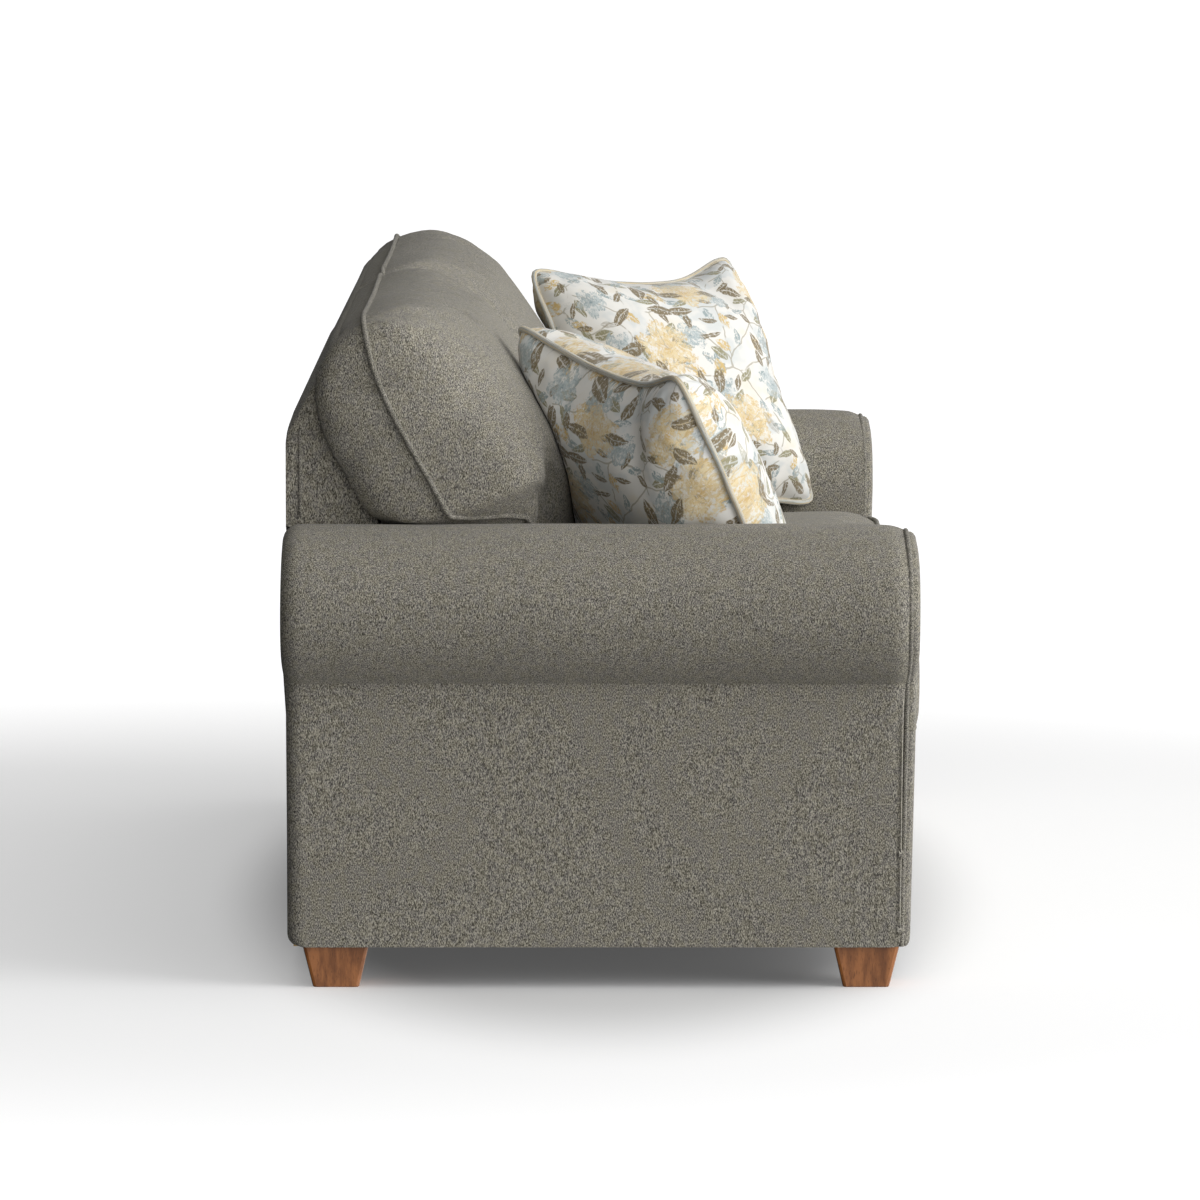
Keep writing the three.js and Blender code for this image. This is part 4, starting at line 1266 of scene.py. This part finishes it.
def ear_edge(z):
    """How far out the cushion's outer edge is at a height."""
    up = np.clip((z - ROLL_CENTRE_Z) / (ROLL_RADIUS_Z + 0.001), 0, 1)
    over_roll = ROLL_CENTRE_X - (ROLL_RADIUS_X + 0.001) * np.sqrt(1 - up * up)
    return over_roll + (EAR_END_X - ROLL_CENTRE_X) * smoothstep(z, 0.655, 0.69)


EAR_BOW = 0.019
EAR_REACH = 0.105
EAR_LIFT = 0.012


def back_place_for(side):
    def place(u, v, face):
        flat_u, flat_v = plan(u, v, 0.010, 0.012)
        height = (flat_v + 1) / 2
        z = BACK_FOOT_Z + (BACK_HEAD[1] - BACK_FOOT_Z) * height
        inner, outer = CLOTH_GAP, ear_edge(z)
        x = inner + (outer - inner) * (flat_u + 1) / 2
        above_arm = np.clip((z - 0.67) / (BACK_HEAD[1] - 0.67), 0, 1)
        bow = EAR_BOW * np.sin(math.pi * above_arm ** 1.5)
        y = BACK_HEAD[0] - math.tan(LEAN) * (BACK_HEAD[1] - z) + bow
        if face > 0:
            squarer = 0.16 * smoothstep(z, 0.60, 0.66) * (1 - smoothstep(z, 0.70, 0.86))
            depth = FRONT_CROWN * crown(u, 3.6, 0.32 - squarer) * crown(v, 2.8, 0.36) * (1 - 0.07 * v)
        else:
            lifted = np.where(v > REAR_PEAK, (v - REAR_PEAK) / (1 - REAR_PEAK), (v - REAR_PEAK) / (1 + REAR_PEAK))
            depth = -REAR_CROWN * crown(u, 3.6, 0.25) * crown(lifted, 2.8, np.where(v > REAR_PEAK, 0.5, 0.42))
        over_arm = smoothstep(u, 0.80, 1.0) * smoothstep(z, 0.56, 0.645) * (1 - smoothstep(x, 0.945, 1.0))
        over_arm = over_arm * (1 - smoothstep(z, 0.70, 0.73))
        reach = EAR_REACH * over_arm
        forward = depth * math.cos(LEAN)
        if face > 0:
            forward = np.maximum(forward, reach + forward * 0.08)
        else:
            forward = forward + reach
        z = z + EAR_LIFT * over_arm
        return np.column_stack([side * x, y - forward, z + depth * math.sin(LEAN)])

    return place


def off_middle(side):
    def keep(points):
        moved = points.copy()
        moved[:, 0] = side * np.maximum(side * points[:, 0], CLOTH_GAP)
        return moved

    return keep


DART_RADIUS = 0.0015
CREASES = (
    ((0.318, 0.880), (0.400, 0.868), 0.0095, 0.0075),
    ((0.382, 0.888), (0.346, 0.899), 0.0045, 0.0085),
    ((0.316, 0.890), (0.274, 0.899), 0.0050, 0.0085),
)


def creased(piece, side, start, end, depth, width):
    """Draws the cloth of the ear in along a line from start to end, given as Y and Z."""
    start, end = (np.array(p) + (ORIGIN_SHIFT, 0) for p in (start, end))
    points = points_of(piece)
    normals = np.array([v.normal for v in piece.data.vertices])
    along = np.clip((points[:, 1:] - start) @ (end - start) / np.sum((end - start) ** 2), 0, 1)
    off = np.linalg.norm(points[:, 1:] - start - along[:, None] * (end - start), axis=1)
    outer = smoothstep(side * points[:, 0], 0.80, 0.90) * smoothstep(side * normals[:, 0], 0.1, 0.4)
    share = np.exp(-(off / width) ** 2) * (1 - along ** 3) * outer
    set_points(piece, points - normals * (share * depth)[:, None])


def dart(piece, side, start, end):
    """The line of a sewn dart, laid on the end of the ear by rays from outside."""
    mesh = piece.data
    tree = BVHTree.FromPolygons([v.co for v in mesh.vertices], [p.vertices for p in mesh.polygons])
    line = []
    for share in np.linspace(0, 1, 16):
        y, z = (1 - share) * np.array(start) + share * np.array(end)
        hit = tree.ray_cast(Vector((side * 1.3, y + ORIGIN_SHIFT, z)), Vector((-side, 0, 0)))[0]
        line.append(hit)
    return line


back_cushions = {}
for word, side in SIDES:
    place = back_place_for(side)
    cushion = sewn_bag(f"cushion_back_{word}", place, 72, 40, 1.0)
    rules = [off_middle(side), off_seat, off_arms, off_back]
    stuffed(cushion, 3.0, 0.022, 0.02, rules)
    finish_cushion(cushion, f"back_cushion_{word}", TWEED, f"back_cushion_{word}")
    for crease in CREASES:
        creased(cushion, side, *crease)
    sew_welt(f"seam_dart_{word}", dart(cushion, side, (0.323, 0.8795), (0.384, 0.870)), DART_RADIUS,
             WELT_TWEED, f"back_cushion_{word}", closed=False)
    back_cushions[word] = cushion
    line = off_back(off_arms(off_seat(off_middle(side)(seam_line(place, 60)))))
    line = on_cloth(cushion, line, (0, -math.cos(LEAN), math.sin(LEAN)), BACK_WELT_RADIUS)
    line = off_back(off_arms(line, BACK_WELT_RADIUS), BACK_WELT_RADIUS)
    sew_welt(f"welt_back_{word}", line, BACK_WELT_RADIUS, WELT_TWEED, f"back_cushion_{word}")
print("back cushions made")

# %% [markdown]
# Throw pillows stand on a corner of the seat and lean on the back cushion. They are soft
# knife-edged bags: the sides dip between the pointed corners. Where a pillow presses on the
# back cushion, a ray from the front finds the cushion's cloth, and the pillow stops there.

# %% Throw pillows
PILLOW_HALF = 0.230
PILLOW_CROWN = 0.098
PILLOW_SAG = 0.085
PILLOW_WELT_RADIUS = 0.0047
PILLOWS = {
    "left": ((-0.781, -0.081 + ORIGIN_SHIFT, 0.723), (-0.815, -0.563, -0.135), (-0.385, 0.352, 0.853)),
    "right": ((0.813, -0.122 + ORIGIN_SHIFT, 0.732), (0.618, -0.786, -0.006), (0.363, 0.278, 0.889)),
}


def pillow_place_for(word):
    centre, across, up = (Vector(v) for v in PILLOWS[word])
    across.normalize()
    face_way = across.cross(up).normalized()
    up = face_way.cross(across)
    centre, across, up, face_way = (np.array(v) for v in (centre, across, up, face_way))

    def place(u, v, face):
        flat_u, flat_v = plan(u, v, 0.075, 0.09)
        sag = PILLOW_SAG * (1 - flat_u ** 2) * (1 + 0.5 * flat_u) * smoothstep(v, -0.6, 1.0)
        flat_v = flat_v - sag
        tip = smoothstep(flat_u, 0.20, 1.0) * smoothstep(flat_v, 0.20, 1.0)
        flat_u, flat_v = flat_u - 0.10 * tip, flat_v + 0.045 * tip
        chop = np.exp(-((u - 0.42 - 0.25 * (1 - v)) / 0.13) ** 2) * smoothstep(v, 0.0, 1.0)
        depth = face * (PILLOW_CROWN - 0.010 * face) * crown(u, 2.6, 0.44) * crown(v, 2.6, 0.44)
        depth = depth * (1 - 0.30 * chop)
        return (centre + np.outer(flat_u * PILLOW_HALF, across) + np.outer(flat_v * PILLOW_HALF, up)
                + np.outer(depth, face_way))

    return place


def in_front_of(cushion, gap=0.0015):
    mesh = cushion.data
    tree = BVHTree.FromPolygons([v.co for v in mesh.vertices], [p.vertices for p in mesh.polygons])

    def keep(points):
        moved = points.copy()
        for index, (x, y, z) in enumerate(points):
            hit = tree.ray_cast(Vector((x, -1.0, z)), Vector((0, 1, 0)))[0]
            if hit is not None and y > hit.y - gap:
                moved[index, 1] = hit.y - gap
        return moved

    return keep


for word, side in SIDES:
    place = pillow_place_for(word)
    pillow = sewn_bag(f"pillow_throw_{word}", place, 44, 44, 2 * PILLOW_HALF)
    rules = [off_seat, off_arms, in_front_of(back_cushions[word])]
    stuffed(pillow, 3.0, 0.016, 0.03, rules, 10.0)
    finish_cushion(pillow, f"throw_pillow_{word}", PRINTED_LINEN, f"throw_pillow_{word}")
    line = seam_line(place, 40)
    for rule in rules:
        line = rule(line)
    _, across, up = PILLOWS[word]
    line = on_cloth(pillow, line, np.cross(across, up), PILLOW_WELT_RADIUS)
    sew_welt(f"welt_pillow_{word}", line, PILLOW_WELT_RADIUS, PRINTED_WELT,
             f"throw_pillow_{word}")
print("throw pillows made")

# %% [markdown]
# The studio is a pale floor that turns up far behind the sofa. Its glow is painted light:
# weak near the sofa, so the shade there stays, and stronger further out, where it lifts the
# cast shadows and ends the picture in white. It throws no light back, so the undersides go dark.
# The room is a soft dome, brightest in front and above, and one large lamp adds some shape.

# %% Studio
ROOM_LEVEL = 0.47
ROOM_TOWARDS = (-0.33, -0.90, 0.27)
KEY_POWER = 430


def studio_floor():
    floor = sheet_of("studio_floor", ((-20, -20, 0), (14, -20, 0), (-20, 20, 0), (14, 20, 0)))
    shape(floor, "EDGE")
    pick(floor, lambda a, b: min(a.x, b.x) > 13.9, "EDGE")
    for offset in ((2.2, 0, 0.5), (1.6, 0, 1.3), (0.6, 0, 2.2), (0, 0, 9)):
        extrude(offset)
    close_shape(floor)
    finish = Finish("studio_floor", roughness=0.9)
    paper = finish.noise(finish.place(), 1.2, 1)
    finish.set("Base Color", finish.blend(paper, (0.66, 0.66, 0.66), (0.68, 0.68, 0.68)))
    measure = {"operation": "LENGTH"}
    near = finish.node("ShaderNodeVectorMath", measure, {0: finish.place((0.36, 1, 1))}, 1)
    far = finish.node("ShaderNodeVectorMath", measure, {0: finish.place()}, 1)
    # Painted light: the floor glows little under and near the sofa, so the contact shade stays dark, and more
    # further out, where it lifts the sofa's cast shadows and ends the picture in white.
    painted_floor_light = near.ramp(0.42, 0.64, 0.07, 0.38) + far.ramp(1.6, 3.4) * 0.3
    finish.set("Emission Color", finish.blend(painted_floor_light, (0, 0, 0), (1, 1, 1)))
    finish.set("Emission Strength", 1.0)
    floor.data.materials.append(finish.material)
    floor.visible_diffuse = False
    floor.visible_glossy = False
    return smooth(floor, 60)


def lamp(name, place, aim, size, power):
    data = bpy.data.lights.new(name, "AREA")
    data.shape = "DISK"
    data.size = size
    data.energy = power
    light = bpy.data.objects.new(name, data)
    light.location = place
    light.rotation_euler = (Vector(aim) - Vector(place)).to_track_quat("-Z", "Y").to_euler()
    bpy.context.scene.collection.objects.link(light)
    return light


def room_light():
    """A world that is bright on one side and fades smoothly to dark on the other."""
    room = bpy.data.worlds.new("room")
    room.use_nodes = True
    tree = room.node_tree
    ray = tree.nodes.new("ShaderNodeNewGeometry")
    towards = tree.nodes.new("ShaderNodeVectorMath")
    towards.operation = "DOT_PRODUCT"
    towards.inputs[1].default_value = [-part for part in ROOM_TOWARDS]
    level = tree.nodes.new("ShaderNodeMapRange")
    level.interpolation_type = "SMOOTHSTEP"
    for index, value in enumerate((-0.45, 0.55, 0.0, 2 * ROOM_LEVEL), 1):
        level.inputs[index].default_value = value
    background = tree.nodes["Background"]
    background.inputs["Color"].default_value = (1, 1, 1, 1)
    tree.links.new(ray.outputs["Incoming"], towards.inputs[0])
    tree.links.new(towards.outputs["Value"], level.inputs[0])
    tree.links.new(level.outputs[0], background.inputs["Strength"])
    bpy.context.scene.world = room


studio_floor()
room_light()
lamp("lamp_key", (-3.2, -6.9, 3.4), (0, 0, 0.5), 6.0, KEY_POWER)
bpy.context.scene.view_settings.view_transform = "Standard"
print("studio lit")
